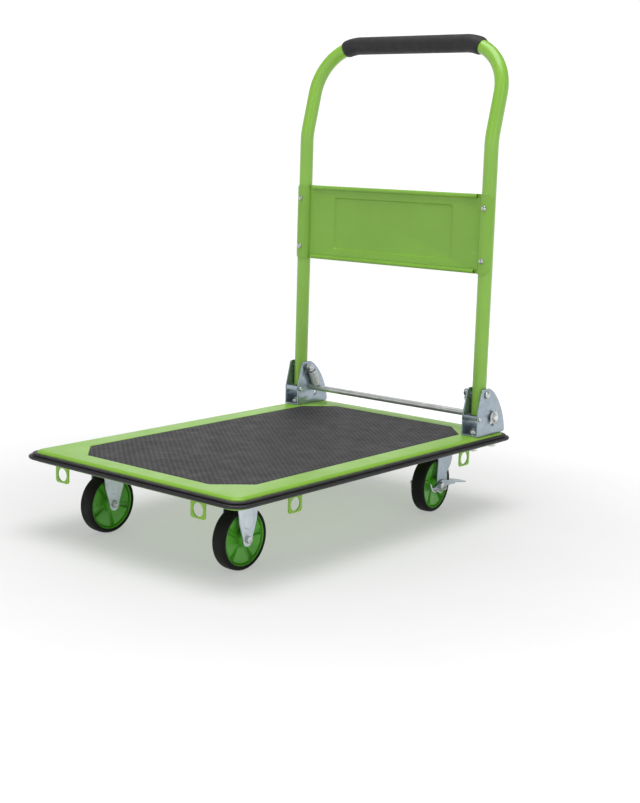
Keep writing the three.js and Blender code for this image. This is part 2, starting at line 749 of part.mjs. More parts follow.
// A moulded wheel centre: a rim, a thin web, a boss for the axle and ribs from boss to rim
function hub() {
  const axleBore = AXLE_RADIUS + 0.4;
  const web = 3;
  const rimInner = HUB_RADIUS - 5;
  const half = [
    [axleBore, BOSS_HALF_WIDTH],
    [BOSS_RADIUS, BOSS_HALF_WIDTH],
    [BOSS_RADIUS + 0.8, web],
    [rimInner - 1.5, web],
    [rimInner, RIM_HALF_WIDTH],
    [HUB_RADIUS, RIM_HALF_WIDTH],
  ];
  const mirrored = half.map(([r, y]) => [r, -y]);
  const profile = [...mirrored, ...half.toReversed(), mirrored[0]];
  const body = lathed(profile, 20);
  const ribs = [];
  for (let i = 0; i < HUB_RIBS; i += 1) {
    const rib = box([BOSS_RADIUS - 2, rimInner + 1], [-10, 10], [-1.5, 1.5]);
    ribs.push(rib.rotateY((i / HUB_RIBS) * Math.PI * 2));
  }
  return shaped([body, ...ribs]);
}

function axleBolt(clampHalf) {
  const seat = clampHalf + GAP;
  return shaped([
    bar(AXLE_RADIUS, [0, -seat - 7, 0], [0, seat + 4, 0], 16),
    bar(AXLE_HEX_RADIUS, [0, seat, 0], [0, seat + AXLE_HEAD_HEIGHT, 0], 6),
    bar(AXLE_HEX_RADIUS, [0, -seat - 5, 0], [0, -seat, 0], 6),
  ]);
}

function axleHole(reach) {
  return bar(AXLE_RADIUS + GAP, [0, -reach, 0], [0, reach, 0], 16);
}

// The plate by which a caster is bolted on, shifted up or down
function topPlate(shift = 0) {
  const outline = roundedRectangle(PLATE_LENGTH, PLATE_WIDTH, 6);
  const z = [PLATE_TOP - PLATE_THICKNESS + shift, PLATE_TOP + shift];
  return plateXY(outline, z, { curveSegments: CORNER_SEGMENTS });
}

// Fixed fork: two tapering legs below a top plate, each stiffened by a raised rib
function fixedFork() {
  const top = PLATE_TOP - AXLE_Z;
  const foot = 9.5;
  const leg = new THREE.Shape();
  leg.moveTo(24, top - 1);
  leg.lineTo(19, 28);
  leg.lineTo(foot, 0);
  leg.absarc(0, -1.6, foot, 0, Math.PI, true);
  leg.lineTo(-19, 28);
  leg.lineTo(-24, top - 1);
  leg.closePath();
  const rib = new THREE.Shape();
  rib.moveTo(12.5, top - 8);
  rib.lineTo(8.5, 22);
  rib.quadraticCurveTo(0, 12, -8.5, 22);
  rib.lineTo(-12.5, top - 8);
  rib.closePath();
  const ribOptions = { bevelEnabled: true, bevelSize: 1.6, bevelThickness: 1.2, bevelSegments: 1, curveSegments: 4 };
  const legs = Object.values(SIDES).flatMap((side) => [
    plateXZ(leg, [side * LEG_INNER, side * LEG_OUTER], { curveSegments: 5 }),
    plateXZ(rib, [side * (LEG_OUTER - 0.6), side * (LEG_OUTER - 0.2)], ribOptions),
  ]);
  const wheelSide = box([-60, 60], [-LEG_INNER, LEG_INNER], [-20, top - PLATE_THICKNESS - 0.1]);
  return shaped([topPlate(-AXLE_Z), ...legs], [wheelSide, axleHole(30)]);
}

// Swivel fork: a yoke under the ball race with two legs that reach forward over the axle
function swivelFork() {
  const top = YOKE_TOP - AXLE_Z;
  const leg = new THREE.Shape();
  leg.moveTo(4.5, top - 1);
  leg.lineTo(7.5, 3);
  leg.quadraticCurveTo(8, -5, 1, -5.8);
  leg.lineTo(-23, -7);
  leg.quadraticCurveTo(-28, -7, -28, -2);
  leg.lineTo(-27.5, 19);
  leg.quadraticCurveTo(-38, 28, -43, 38);
  leg.quadraticCurveTo(-47, 50, -46, top - 1);
  leg.closePath();
  const legs = Object.values(SIDES).map((side) => {
    return plateXZ(leg, [side * LEG_INNER, side * LEG_OUTER], { curveSegments: 4 });
  });
  const yoke = box([-46, 4.5], [-LEG_OUTER, LEG_OUTER], [top - PLATE_THICKNESS, top]);
  const crown = bar(24, [-TRAIL, 0, top - PLATE_THICKNESS], [-TRAIL, 0, top], 24);
  const kingpinHole = bar(6, [-TRAIL, 0, top - 6], [-TRAIL, 0, top + 3]);
  return shaped([...legs, yoke, crown], [kingpinHole, axleHole(30)]);
}

// The fixed half of the swivel head: its ball race and the riveted kingpin that carries the fork
function swivelRace() {
  const profile = [
    [0, YOKE_TOP - PLATE_THICKNESS - 4.3],
    [7.5, YOKE_TOP - PLATE_THICKNESS - 4.3],
    [9, YOKE_TOP - PLATE_THICKNESS - GAP],
    [5.5, YOKE_TOP - PLATE_THICKNESS - GAP],
    [5.5, YOKE_TOP + GAP],
    [20, YOKE_TOP + GAP],
    [23, YOKE_TOP + 3],
    [22, PLATE_TOP - PLATE_THICKNESS - GAP],
    [0, PLATE_TOP - PLATE_THICKNESS - GAP],
  ];
  return lathed(profile, 20).rotateX(Math.PI / 2);
}

// Stamped lever: scalloped cheeks around the axle, arms beside the tyre and a tread behind it
function brakePedal() {
  const cheek = new THREE.Shape();
  cheek.moveTo(34, 9);
  cheek.lineTo(37, 8);
  cheek.lineTo(32, -3);
  cheek.quadraticCurveTo(26, -10, 18, -7.5);
  cheek.quadraticCurveTo(12, -7, 9, -11);
  cheek.quadraticCurveTo(2, -15, -5, -10.5);
  cheek.quadraticCurveTo(-9, -8, -14, -10.5);
  cheek.quadraticCurveTo(-21, -11, -25, -5);
  cheek.lineTo(-56, -7.2);
  cheek.lineTo(-56, -2);
  cheek.lineTo(-28, 4.4);
  cheek.lineTo(-10, 8);
  cheek.quadraticCurveTo(2, 9, 9, 2);
  cheek.quadraticCurveTo(20, -3, 28, 0);
  cheek.closePath();
  const cheeks = Object.values(SIDES).map((side) => {
    return plateXZ(cheek, [side * PEDAL_INNER, side * PEDAL_OUTER], { curveSegments: 4 });
  });
  const tread = new THREE.Shape();
  tread.moveTo(-53.5, PEDAL_OUTER);
  tread.lineTo(-104, 17);
  tread.quadraticCurveTo(-119, 14, -119, 0);
  tread.quadraticCurveTo(-119, -14, -104, -17);
  tread.lineTo(-53.5, -PEDAL_OUTER);
  tread.closePath();
  const treadOptions = { bevelEnabled: true, bevelSize: 0.8, bevelThickness: 0.8, bevelSegments: 1, curveSegments: 4 };
  const blade = plateXY(tread, [-1.4, -0.4], treadOptions);
  blade.translate(53.5, 0, 0).rotateY(THREE.MathUtils.degToRad(-11)).translate(-53.5, 0, -2.6);
  return shaped([...cheeks, blade], [axleHole(30)]);
}

// The wheel's tyre and hub share one frame, at the axle
function addWheel(parent, name) {
  const wheel = new THREE.Group();
  parent.add(wheel);
  add(wheel, `${name}_hub`, hub(), 'hubPlastic');
  add(wheel, `${name}_tyre`, tyre(), 'tyreRubber');
}

function addFixedCaster(sideName, side) {
  const caster = new THREE.Group();
  caster.position.set(FRONT_AXLE_X, side * CASTER_Y, AXLE_Z);
  caster.rotation.z = side > 0 ? 0 : Math.PI;
  cart.add(caster);
  add(caster, `front_fork_${sideName}`, fixedFork(), 'zinc');
  add(caster, `front_axle_${sideName}`, axleBolt(LEG_OUTER), 'steel');
  addWheel(caster, `front_${sideName}`);
}

function addSwivelCaster(sideName, side) {
  const mount = new THREE.Group();
  mount.position.set(SWIVEL_X, side * CASTER_Y, 0);
  cart.add(mount);
  add(mount, `rear_top_plate_${sideName}`, topPlate(), 'zinc');
  add(mount, `rear_race_${sideName}`, swivelRace(), 'zinc');
  const swivel = new THREE.Group();
  swivel.rotation.z = side * SWIVEL_ANGLE;
  mount.add(swivel);
  const axle = new THREE.Group();
  axle.position.set(TRAIL, 0, AXLE_Z);
  swivel.add(axle);
  add(axle, `rear_fork_${sideName}`, swivelFork(), 'zinc');
  add(axle, `rear_axle_${sideName}`, axleBolt(PEDAL_OUTER), 'steel');
  add(axle, `brake_pedal_${sideName}`, brakePedal(), 'steel');
  addWheel(axle, `rear_${sideName}`);
}

// ---------------------------------------------------------------- the whole cart

add(cart, 'deck_pan', deckPan(), 'greenPaint');
add(cart, 'deck_mat', deckMat(), 'matRubber');
add(cart, 'edge_bumper', edgeBumper(), 'bumperRubber');
add(cart, 'cross_member_front', crossMember(FRONT_AXLE_X), 'greenPaint');
add(cart, 'cross_member_rear', crossMember(SWIVEL_X + 2), 'greenPaint');
add(cart, 'lock_rod', lockRod(), 'steel');
add(cart, 'handle_tube', handleTube(), 'greenPaint');
add(cart, 'foam_grip', foamGrip(), 'foam');
add(cart, 'back_panel', backPanel(), 'greenPaint');

for (const { name, x, y } of boltPlaces()) {
  add(cart, name, bracketBolt(x, y), 'steel');
}

for (const [sideName, side] of Object.entries(SIDES)) {
  add(cart, `mount_channel_${sideName}`, mountChannel(side), 'greenPaint');
  add(cart, `hinge_bracket_${sideName}`, hingeBracket(side), 'zinc');
  add(cart, `pivot_bolt_${sideName}`, pivotBolt(side), 'steel');
  add(cart, `stop_pin_${sideName}`, stopPin(side), 'steel');
  add(cart, `rod_washer_${sideName}`, rodWasher(side), 'steel');
  add(cart, `cotter_pin_${sideName}`, cotterPin(side), 'steel');
  add(cart, `lock_spring_${sideName}`, springBody(side), 'steel');
  add(cart, `tie_loop_end_${sideName}`, endLoop(END_LOOP_Y[sideName]), 'greenPaint');
  for (const [endName, x] of Object.entries(SIDE_LOOP_X)) {
    add(cart, `tie_loop_${sideName}_${endName}`, sideLoop(x, side), 'greenPaint');
  }
  for (const [levelName, z] of Object.entries(SCREW_Z)) {
    add(cart, `panel_screw_${sideName}_${levelName}`, panelScrew(side * BRACKET_Y, z), 'steel');
  }
  addFixedCaster(sideName, side);
  addSwivelCaster(sideName, side);
}

export default cart;
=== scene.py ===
"""The looks of a folding platform cart: a pressed steel deck with a ribbed mat and a rubber bumper,
a folding tubular handle with a foam grip, two fixed casters and two braked swivel casters.

Lengths are written in millimetres and turned into metres when a mesh is made.
+X points forward, away from the handle, +Y to the left and +Z up.
"""

import math
import random

import bpy
import bmesh
from mathutils import Matrix, Vector


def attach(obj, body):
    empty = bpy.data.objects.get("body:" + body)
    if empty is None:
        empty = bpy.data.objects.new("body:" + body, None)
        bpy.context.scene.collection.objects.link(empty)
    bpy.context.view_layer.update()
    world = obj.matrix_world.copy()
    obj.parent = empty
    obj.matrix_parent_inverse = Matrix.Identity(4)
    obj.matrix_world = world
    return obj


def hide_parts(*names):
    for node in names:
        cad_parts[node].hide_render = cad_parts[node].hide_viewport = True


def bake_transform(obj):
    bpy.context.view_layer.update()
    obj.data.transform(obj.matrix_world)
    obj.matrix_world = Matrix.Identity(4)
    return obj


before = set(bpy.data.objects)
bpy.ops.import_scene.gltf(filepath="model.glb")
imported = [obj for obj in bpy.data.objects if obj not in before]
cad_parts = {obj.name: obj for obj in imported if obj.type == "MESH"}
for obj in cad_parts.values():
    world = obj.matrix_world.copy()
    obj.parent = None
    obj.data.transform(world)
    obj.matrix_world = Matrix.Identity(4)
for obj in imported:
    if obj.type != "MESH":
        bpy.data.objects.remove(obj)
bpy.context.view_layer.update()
random.seed(11)

MM = 0.001
SIDES = (("left", 1), ("right", -1))
HALF_PI = math.pi / 2

# ---------------------------------------------------------------- materials


class Nodes:
    """A short way to write a material's node tree."""

    def __init__(self, name):
        self.material = bpy.data.materials.new(name)
        self.material.use_nodes = True
        self.tree = self.material.node_tree
        self.shader = self.tree.nodes["Principled BSDF"]
        coordinates = self.tree.nodes.new("ShaderNodeTexCoord")
        self.place = coordinates.outputs["Object"]

    def link(self, value, socket):
        if isinstance(value, bpy.types.NodeSocket):
            self.tree.links.new(value, socket)
        else:
            socket.default_value = value

    def node(self, kind, inputs=(), **settings):
        made = self.tree.nodes.new(kind)
        for key, value in settings.items():
            setattr(made, key, value)
        for key, value in dict(inputs).items():
            self.link(value, made.inputs[key])
        return made

    def math(self, operation, first, second=0.0, third=0.0):
        inputs = {0: first, 1: second, 2: third}
        return self.node("ShaderNodeMath", inputs, operation=operation).outputs[0]

    def noise(self, scale, detail=3.0, stretch=(1, 1, 1), roughness=0.55):
        scaled = self.node("ShaderNodeMapping", {"Vector": self.place, "Scale": stretch})
        inputs = {"Vector": scaled.outputs[0], "Scale": scale, "Detail": detail, "Roughness": roughness}
        return self.node("ShaderNodeTexNoise", inputs).outputs["Fac"]

    def between(self, value, low, high, to_low=0.0, to_high=1.0):
        inputs = {0: value, 1: low, 2: high, 3: to_low, 4: to_high}
        return self.node("ShaderNodeMapRange", inputs).outputs[0]

    def mix(self, factor, first, second):
        made = self.node("ShaderNodeMix", data_type="RGBA")
        self.link(factor, made.inputs[0])
        self.link(first, made.inputs[6])
        self.link(second, made.inputs[7])
        return made.outputs[2]

    def bump(self, height, strength, distance, below=None):
        inputs = {"Height": height, "Strength": strength, "Distance": distance}
        if below is not None:
            inputs["Normal"] = below
        return self.node("ShaderNodeBump", inputs).outputs[0]

    def along(self, direction):
        """The distance along a direction of the deck, in metres."""
        inputs = {0: self.place, 1: direction}
        return self.node("ShaderNodeVectorMath", inputs, operation="DOT_PRODUCT").outputs["Value"]

    def finish(self, color, roughness, normal=None, metallic=0.0, **constants):
        self.link(color, self.shader.inputs["Base Color"])
        self.link(roughness, self.shader.inputs["Roughness"])
        self.shader.inputs["Metallic"].default_value = metallic
        if normal is not None:
            self.link(normal, self.shader.inputs["Normal"])
        for key, value in constants.items():
            self.shader.inputs[key.replace("_", " ")].default_value = value
        return self.material


def tint(color, factor):
    return (color[0] * factor, color[1] * factor, color[2] * factor, 1.0)


def powder_coat(name, color, gloss=0.08):
    """Glossy powder coat: a fine orange peel, faint clouding, dust and a few rubbed marks."""
    n = Nodes(name)
    cloud = n.between(n.noise(9.0, 4.0), 0.3, 0.7)
    base = n.mix(cloud, tint(color, 0.94), tint(color, 1.05))
    rub = n.between(n.noise(60.0, 6.0, (1, 0.25, 0.6), 0.7), 0.66, 0.78)
    dusty = n.mix(n.math("MULTIPLY", rub, 0.16), base, (0.55, 0.62, 0.42, 1))
    speck = n.between(n.noise(420.0, 2.0), 0.62, 0.74)
    worn = n.mix(n.math("MULTIPLY", speck, 0.08), dusty, tint(color, 0.6))
    uneven = n.between(n.noise(26.0, 5.0), 0.3, 0.7, 0.34, 0.46)
    rough = n.math("ADD", uneven, n.math("MULTIPLY", rub, 0.12))
    peel = n.bump(n.noise(650.0, 2.0), 0.10, 0.0006)
    wave = n.bump(n.noise(14.0, 2.0), 0.06, 0.004, peel)
    return n.finish(worn, rough, wave, Specular_IOR_Level=0.32, Coat_Weight=gloss, Coat_Roughness=0.15)


def ribbed_mat(name):
    """Dark rubber sheet moulded with small lozenges: two crossing sets of ribs, one bolder."""
    n = Nodes(name)
    ribs = []
    for direction in ((-96.0, 81.0, 0.0), (96.0, 81.0, 0.0)):
        turn = n.math("MULTIPLY", n.along(direction), 2 * math.pi)
        ribs.append(n.between(n.math("SINE", turn), -0.2, 0.9))
    bold = n.math("MAXIMUM", ribs[0], n.math("MULTIPLY", ribs[1], 0.12))
    grain = n.noise(1500.0, 3.0)
    scuff = n.between(n.noise(9.0, 6.0, (0.5, 1.4, 1), 0.6), 0.45, 0.8)
    base = n.mix(bold, (0.030, 0.0285, 0.0315, 1), (0.054, 0.051, 0.056, 1))
    dusty = n.mix(n.math("MULTIPLY", scuff, 0.05), base, (0.13, 0.126, 0.122, 1))
    rough = n.between(n.noise(40.0, 4.0), 0.3, 0.7, 0.55, 0.72)
    fine = n.bump(grain, 0.25, 0.0003)
    return n.finish(dusty, rough, n.bump(bold, 0.5, 0.0008, fine), Specular_IOR_Level=0.2)


def moulded_rubber(name, color, gloss, specular):
    """Moulded rubber: a fine grain, dull dusty patches and small nicks."""
    n = Nodes(name)
    dust = n.between(n.noise(30.0, 6.0, (1, 1, 1), 0.65), 0.45, 0.75)
    base = n.mix(dust, tint(color, 0.9), tint(color, 1.5))
    fleck = n.between(n.noise(240.0, 2.0), 0.7, 0.78)
    flecked = n.mix(n.math("MULTIPLY", fleck, 0.12), base, (0.12, 0.116, 0.11, 1))
    rough = n.between(n.noise(55.0, 4.0), 0.3, 0.7, gloss, gloss + 0.2)
    grain = n.bump(n.noise(900.0, 3.0), 0.22, 0.0003)
    dents = n.bump(n.noise(36.0, 3.0), 0.10, 0.002, grain)
    return n.finish(flecked, rough, dents, Specular_IOR_Level=specular)


def moulded_plastic(name, color):
    """Glossy moulded plastic with faint flow marks and patches of grime."""
    n = Nodes(name)
    flow = n.between(n.noise(22.0, 3.0), 0.3, 0.7)
    base = n.mix(flow, tint(color, 0.8), tint(color, 1.15))
    grime = n.between(n.noise(85.0, 6.0, (1, 1, 1), 0.7), 0.55, 0.78)
    dirty = n.mix(n.math("MULTIPLY", grime, 0.25), base, tint(color, 0.35))
    rough = n.between(n.noise(70.0, 4.0), 0.3, 0.7, 0.26, 0.42)
    sink = n.bump(n.noise(120.0, 2.0), 0.12, 0.0008)
    return n.finish(dirty, rough, sink, Specular_IOR_Level=0.35, Coat_Weight=0.12, Coat_Roughness=0.15)


def plated_steel(name, color, rough_low, rough_high, spangle=0.0):
    """Zinc-plated steel: rolling marks, cloudy plating and, on the sheet parts, a faint spangle."""
    n = Nodes(name)
    cloud = n.between(n.noise(45.0, 5.0), 0.3, 0.7)
    base = n.mix(cloud, tint(color, 0.86), tint(color, 1.08))
    cells = n.node("ShaderNodeTexVoronoi", {"Vector": n.place, "Scale": 260.0})
    cell_tone = n.between(cells.outputs["Color"], 0.0, 1.0)
    plated = n.mix(n.math("MULTIPLY", cell_tone, spangle), base, tint((0.9, 0.95, 1.0), 0.75))
    stain = n.between(n.noise(130.0, 6.0, (1, 1, 0.4), 0.7), 0.62, 0.8)
    stained = n.mix(n.math("MULTIPLY", stain, 0.3), plated, tint((0.42, 0.38, 0.33), 0.7))
    rough = n.between(n.noise(75.0, 5.0, (0.4, 0.4, 2.5)), 0.3, 0.7, rough_low, rough_high)
    rolled = n.bump(n.noise(380.0, 3.0, (0.2, 0.2, 1.6)), 0.10, 0.0004)
    return n.finish(stained, rough, rolled, metallic=0.9)


def foam_rubber(name):
    """Closed-cell foam sleeve: a fine pitted skin with slow swells."""
    n = Nodes(name)
    pores = n.node("ShaderNodeTexVoronoi", {"Vector": n.place, "Scale": 1400.0})
    pit = n.between(pores.outputs["Distance"], 0.15, 0.6)
    patch = n.between(n.noise(50.0, 4.0), 0.35, 0.7)
    base = n.mix(patch, (0.008, 0.008, 0.009, 1), (0.014, 0.014, 0.0155, 1))
    pitted = n.mix(n.math("MULTIPLY", pit, 0.4), base, (0.022, 0.022, 0.024, 1))
    rough = n.between(n.noise(90.0, 3.0), 0.3, 0.7, 0.5, 0.68)
    skin = n.bump(pit, 0.3, 0.0004)
    swell = n.bump(n.noise(70.0, 2.0), 0.12, 0.0015, skin)
    return n.finish(pitted, rough, swell, Specular_IOR_Level=0.35, Sheen_Weight=0.04, Sheen_Roughness=0.5)


GREEN = powder_coat("green_powder_coat", (0.225, 0.455, 0.046))
TUBE_GREEN = powder_coat("green_tube_powder_coat", (0.215, 0.44, 0.046), gloss=0.5)
# The handle's panel takes a darker copy of the deck's green: painted shade for its upright face.
SHADED_PANEL_GREEN = powder_coat("green_panel_powder_coat_painted_shade", (0.195, 0.40, 0.044), gloss=0.2)
MAT = ribbed_mat("ribbed_mat_rubber")
BUMPER = moulded_rubber("bumper_rubber", (0.017, 0.0155, 0.018), 0.36, 0.4)
TYRE = moulded_rubber("tyre_rubber", (0.0065, 0.0062, 0.0058), 0.5, 0.16)
HUB = moulded_plastic("hub_plastic", (0.075, 0.33, 0.022))
ZINC = plated_steel("zinc_sheet", (0.32, 0.385, 0.44), 0.25, 0.4, 0.12)
PEDAL_STEEL = plated_steel("pedal_zinc", (0.34, 0.40, 0.43), 0.3, 0.45, 0.05)
SATIN = plated_steel("satin_plated_steel", (0.72, 0.74, 0.73), 0.36, 0.5)
# The fixed forks take a paler, rougher copy of the zinc: the rougher finish is real, the paler colour is
# painted light on legs that stand in the light.
PALE_ZINC_PAINTED_LIGHT = plated_steel("pale_zinc_sheet_painted_light", (0.66, 0.72, 0.79), 0.42, 0.56, 0.12)
STEEL = plated_steel("bright_plated_steel", (0.56, 0.58, 0.59), 0.2, 0.36)
FOAM = foam_rubber("foam_sleeve")

# ---------------------------------------------------------------- mesh making


def moved(shape, matrix):
    points, faces = shape
    return [matrix @ Vector(p) for p in points], faces


def at(x=0.0, y=0.0, z=0.0):
    return Matrix.Translation((x, y, z))


def turned(angle, axis):
    return Matrix.Rotation(angle, 4, axis)


def turned_over(shape):
    return moved(shape, turned(math.pi, "X"))


def axes(x_to, y_to, z_to):
    """The rotation that takes the three axes to three other directions."""
    return Matrix((x_to, y_to, z_to)).transposed().to_4x4()


# A plate drawn in X and Y is stood up to face along Y, or along X
FACING_Y = axes((1, 0, 0), (0, 0, 1), (0, -1, 0))
FACING_X = axes((0, 1, 0), (0, 0, 1), (1, 0, 0))
AXLE_ALONG_Y = axes((1, 0, 0), (0, 0, -1), (0, 1, 0))


def merged(*shapes):
    points, faces = [], []
    for more_points, more_faces in shapes:
        start = len(points)
        points.extend(more_points)
        faces.extend([tuple(i + start for i in face) for face in more_faces])
    return points, faces


def piece(name, shape, material, body, nodes=(), sharp=38, bevel=0.0):
    """A mesh object made from a shape in millimetres, which moves with a body and stands for some nodes."""
    points, faces = shape
    mesh = bpy.data.meshes.new(name)
    mesh.from_pydata([Vector(p) * MM for p in points], [], faces)
    clean = bmesh.new()
    clean.from_mesh(mesh)
    bmesh.ops.remove_doubles(clean, verts=clean.verts, dist=2e-6)
    bmesh.ops.recalc_face_normals(clean, faces=clean.faces)
    clean.to_mesh(mesh)
    clean.free()
    for polygon in mesh.polygons:
        polygon.use_smooth = True
    mesh.set_sharp_from_angle(angle=math.radians(sharp))
    made = bpy.data.objects.new(name, mesh)
    bpy.context.scene.collection.objects.link(made)
    mesh.materials.append(material)
    if bevel:
        rounding = made.modifiers.new("edges", "BEVEL")
        rounding.width = bevel * MM
        rounding.segments = 2
        rounding.limit_method = "ANGLE"
        rounding.angle_limit = math.radians(40)
        rounding.harden_normals = True
    if body:
        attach(made, body)
    if nodes:
        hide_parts(*nodes)
    return made


def loft(rings, cap_start=True, cap_end=True, around=False):
    """Joins rings of equal length; around also joins the last ring to the first."""
    size = len(rings[0])
    points = [p for ring in rings for p in ring]
    faces = []
    last = len(rings) if around else len(rings) - 1
    for r in range(last):
        a, b = r * size, ((r + 1) % len(rings)) * size
        for i in range(size):
            j = (i + 1) % size
            faces.append((a + i, a + j, b + j, b + i))
    if cap_start and not around:
        faces.append(tuple(range(size - 1, -1, -1)))
    if cap_end and not around:
        start = (len(rings) - 1) * size
        faces.append(tuple(range(start, start + size)))
    return points, faces


def lathe(profile, steps=64, around=True):
    """Turns (radius, height) pairs about Z. around closes the profile on itself."""
    rings = []
    for radius, height in profile:
        ring = []
        for i in range(steps):
            angle = 2 * math.pi * i / steps
            ring.append((radius * math.cos(angle), radius * math.sin(angle), height))
        rings.append(ring)
    return loft(rings, not around, not around, around)


def sweep(path, radius, sides=24, inner=None, start_normal=(0, 1, 0)):
    """A round bar, or with an inner radius a pipe, along a list of points. A radius may be a list."""
    path = [Vector(p) for p in path]
    outer_radii = radius if isinstance(radius, list) else [radius] * len(path)
    normal = Vector(start_normal)
    outer, bore = [], []
    for i, point in enumerate(path):
        tangent = (path[min(i + 1, len(path) - 1)] - path[max(i - 1, 0)]).normalized()
        normal = (normal - tangent * normal.dot(tangent)).normalized()
        other = tangent.cross(normal)
        spread = [
            (normal * math.cos(2 * math.pi * k / sides) + other * math.sin(2 * math.pi * k / sides))
            for k in range(sides)
        ]
        outer.append([point + s * outer_radii[i] for s in spread])
        if inner:
            bore.append([point + s * inner for s in spread])
    if inner:
        return loft(outer + bore[::-1], around=True)
    return loft(outer)


def arc(x, y, radius, start, end, steps=8):
    """Points on an arc between two angles in degrees."""
    points = []
    for i in range(steps + 1):
        angle = math.radians(start + (end - start) * i / steps)
        points.append((x + radius * math.cos(angle), y + radius * math.sin(angle)))
    return points


def bezier(a, b, c, d, steps=10):
    points = []
    for i in range(steps + 1):
        t = i / steps
        w = ((1 - t) ** 3, 3 * t * (1 - t) ** 2, 3 * t * t * (1 - t), t**3)
        points.append(tuple(w[0] * a[k] + w[1] * b[k] + w[2] * c[k] + w[3] * d[k] for k in (0, 1)))
    return points


def quadratic(a, b, c, steps=6):
    middle_1 = tuple(a[k] + (b[k] - a[k]) * 2 / 3 for k in (0, 1))
    middle_2 = tuple(c[k] + (b[k] - c[k]) * 2 / 3 for k in (0, 1))
    return bezier(a, middle_1, middle_2, c, steps)


def rounded(half_x, half_y, radius, steps=8, centre=(0, 0)):
    """A rectangle with round corners."""
    x, y = half_x - radius, half_y - radius
    points = []
    for k, (sx, sy) in enumerate(((1, 1), (-1, 1), (-1, -1), (1, -1))):
        points += arc(centre[0] + sx * x, centre[1] + sy * y, radius, 90 * k, 90 * k + 90, steps)
    return points


def cut_corners(half_x, half_y, chamfer, steps=8):
    """A rectangle with straight-cut corners, with as many points as the round one."""
    points = []
    for k, (sx, sy) in enumerate(((1, 1), (-1, 1), (-1, -1), (1, -1))):
        a = (sx * half_x, sy * (half_y - chamfer))
        b = (sx * (half_x - chamfer), sy * half_y)
        if k % 2:
            a, b = b, a
        for i in range(steps + 1):
            t = i / steps
            points.append((a[0] + (b[0] - a[0]) * t, a[1] + (b[1] - a[1]) * t))
    return points


def four_corners(half_x, half_y):
    return [(sx * half_x, sy * half_y) for sx in (-1, 1) for sy in (-1, 1)]


def round_hole(radius, x=0, y=0):
    return arc(x, y, radius, 0, 340, 17)


def ring_at(outline, z):
    return [(x, y, z) for x, y in outline]


def plate(outline, holes=(), thickness=2.0, bevel=0.4):
    """A flat plate with holes and softened edges, its middle at Z 0."""
    curve = bpy.data.curves.new("outline", "CURVE")
    curve.dimensions = "2D"
    curve.fill_mode = "BOTH"
    for points in (outline, *holes):
        spline = curve.splines.new("POLY")
        spline.points.add(len(points) - 1)
        for target, (x, y) in zip(spline.points, points):
            target.co = (x, y, 0, 1)
        spline.use_cyclic_u = True
    curve.extrude = thickness / 2 - bevel
    curve.bevel_depth = bevel
    curve.bevel_resolution = 1
    curve.offset = -bevel
    holder = bpy.data.objects.new("outline", curve)
    bpy.context.scene.collection.objects.link(holder)
    mesh = bpy.data.meshes.new_from_object(holder.evaluated_get(bpy.context.evaluated_depsgraph_get()))
    shape = [tuple(v.co) for v in mesh.vertices], [tuple(p.vertices) for p in mesh.polygons]
    bpy.data.objects.remove(holder)
    bpy.data.curves.remove(curve)
    bpy.data.meshes.remove(mesh)
    return shape


def hexagon_head(across_corners, height, chamfer=0.9, steps=60, chamfer_both=False):
    """A hexagon nut or bolt head standing on Z 0, its corners cut by a cone."""
    corner = across_corners / 2
    flat = corner * math.cos(math.pi / 6)

    def ring(z, limit):
        points = []
        for i in range(steps):
            angle = 2 * math.pi * i / steps
            edge = flat / math.cos((angle + math.pi / 6) % (math.pi / 3) - math.pi / 6)
            r = min(edge, limit)
            points.append((r * math.cos(angle), r * math.sin(angle), z))
        return points

    top = [(height - chamfer, corner), (height - chamfer / 3, flat * 1.03), (height, flat * 0.93)]
    bottom = [(0, flat * 0.95), (chamfer * 0.7, corner)] if chamfer_both else [(0, corner)]
    return loft([ring(z, limit) for z, limit in bottom + top])


def threaded(radius, length, pitch=1.25, steps=20):
    """A threaded shank that rises from Z 0, with a small chamfer at its end."""
    profile = [(0, 0), (radius, 0)]
    count = int(length / pitch)
    for i in range(count):
        for along, depth in ((0.15, 0), (0.5, 0.55), (0.85, 0)):
            profile.append((radius - depth, i * pitch + along * pitch))
    profile += [(radius - 0.8, length), (0, length)]
    return lathe(profile, steps, around=False)


def washer(inner, outer, thickness, steps=36):
    edge = 0.25
    profile = [(inner, 0), (outer - edge, 0), (outer, edge), (outer, thickness - edge)]
    profile += [(outer - edge, thickness), (inner, thickness)]
    return lathe(profile, steps)


def rod(radius, length, steps=28, chamfer=0.8):
    """A plain round bar from Z 0, chamfered at both ends."""
    profile = [(0, 0), (radius - chamfer, 0), (radius, chamfer), (radius, length - chamfer)]
    profile += [(radius - chamfer, length), (0, length)]
    return lathe(profile, steps, around=False)


# ---------------------------------------------------------------- deck

DECK_HALF = (356.0, 226.0)
DECK_CORNER = 17.0
DECK_TOP = 140.0
SKIRT_BOTTOM = 121.5
MAT_HALF = (318.0, 183.0)
MAT_CHAMFER = 48.5
EDGE_WIDTH = 7.5
EDGE_DROP = 4.6
LOOP_Z = 109.0
LOOP_BOTTOM = 95.5
LOOP_HALF_WIDTH = 15.25
LOOP_HOLE = 10.6
END_LOOP_X = 352.45
END_LOOP_Y = {"left": 145.4, "right": -156.8}
SIDE_LOOP_Y = 222.45
SIDE_LOOP_X = (("front", 224.5), ("rear", -229.5))


def deck_outline(outset, z):
    half_x, half_y = DECK_HALF[0] + outset, DECK_HALF[1] + outset
    return ring_at(rounded(half_x, half_y, max(DECK_CORNER + outset, 3.0)), z)


def recess_outline(outset, z):
    cut = MAT_CHAMFER + 0.586 * outset
    return ring_at(cut_corners(MAT_HALF[0] + outset, MAT_HALF[1] + outset, cut), z)


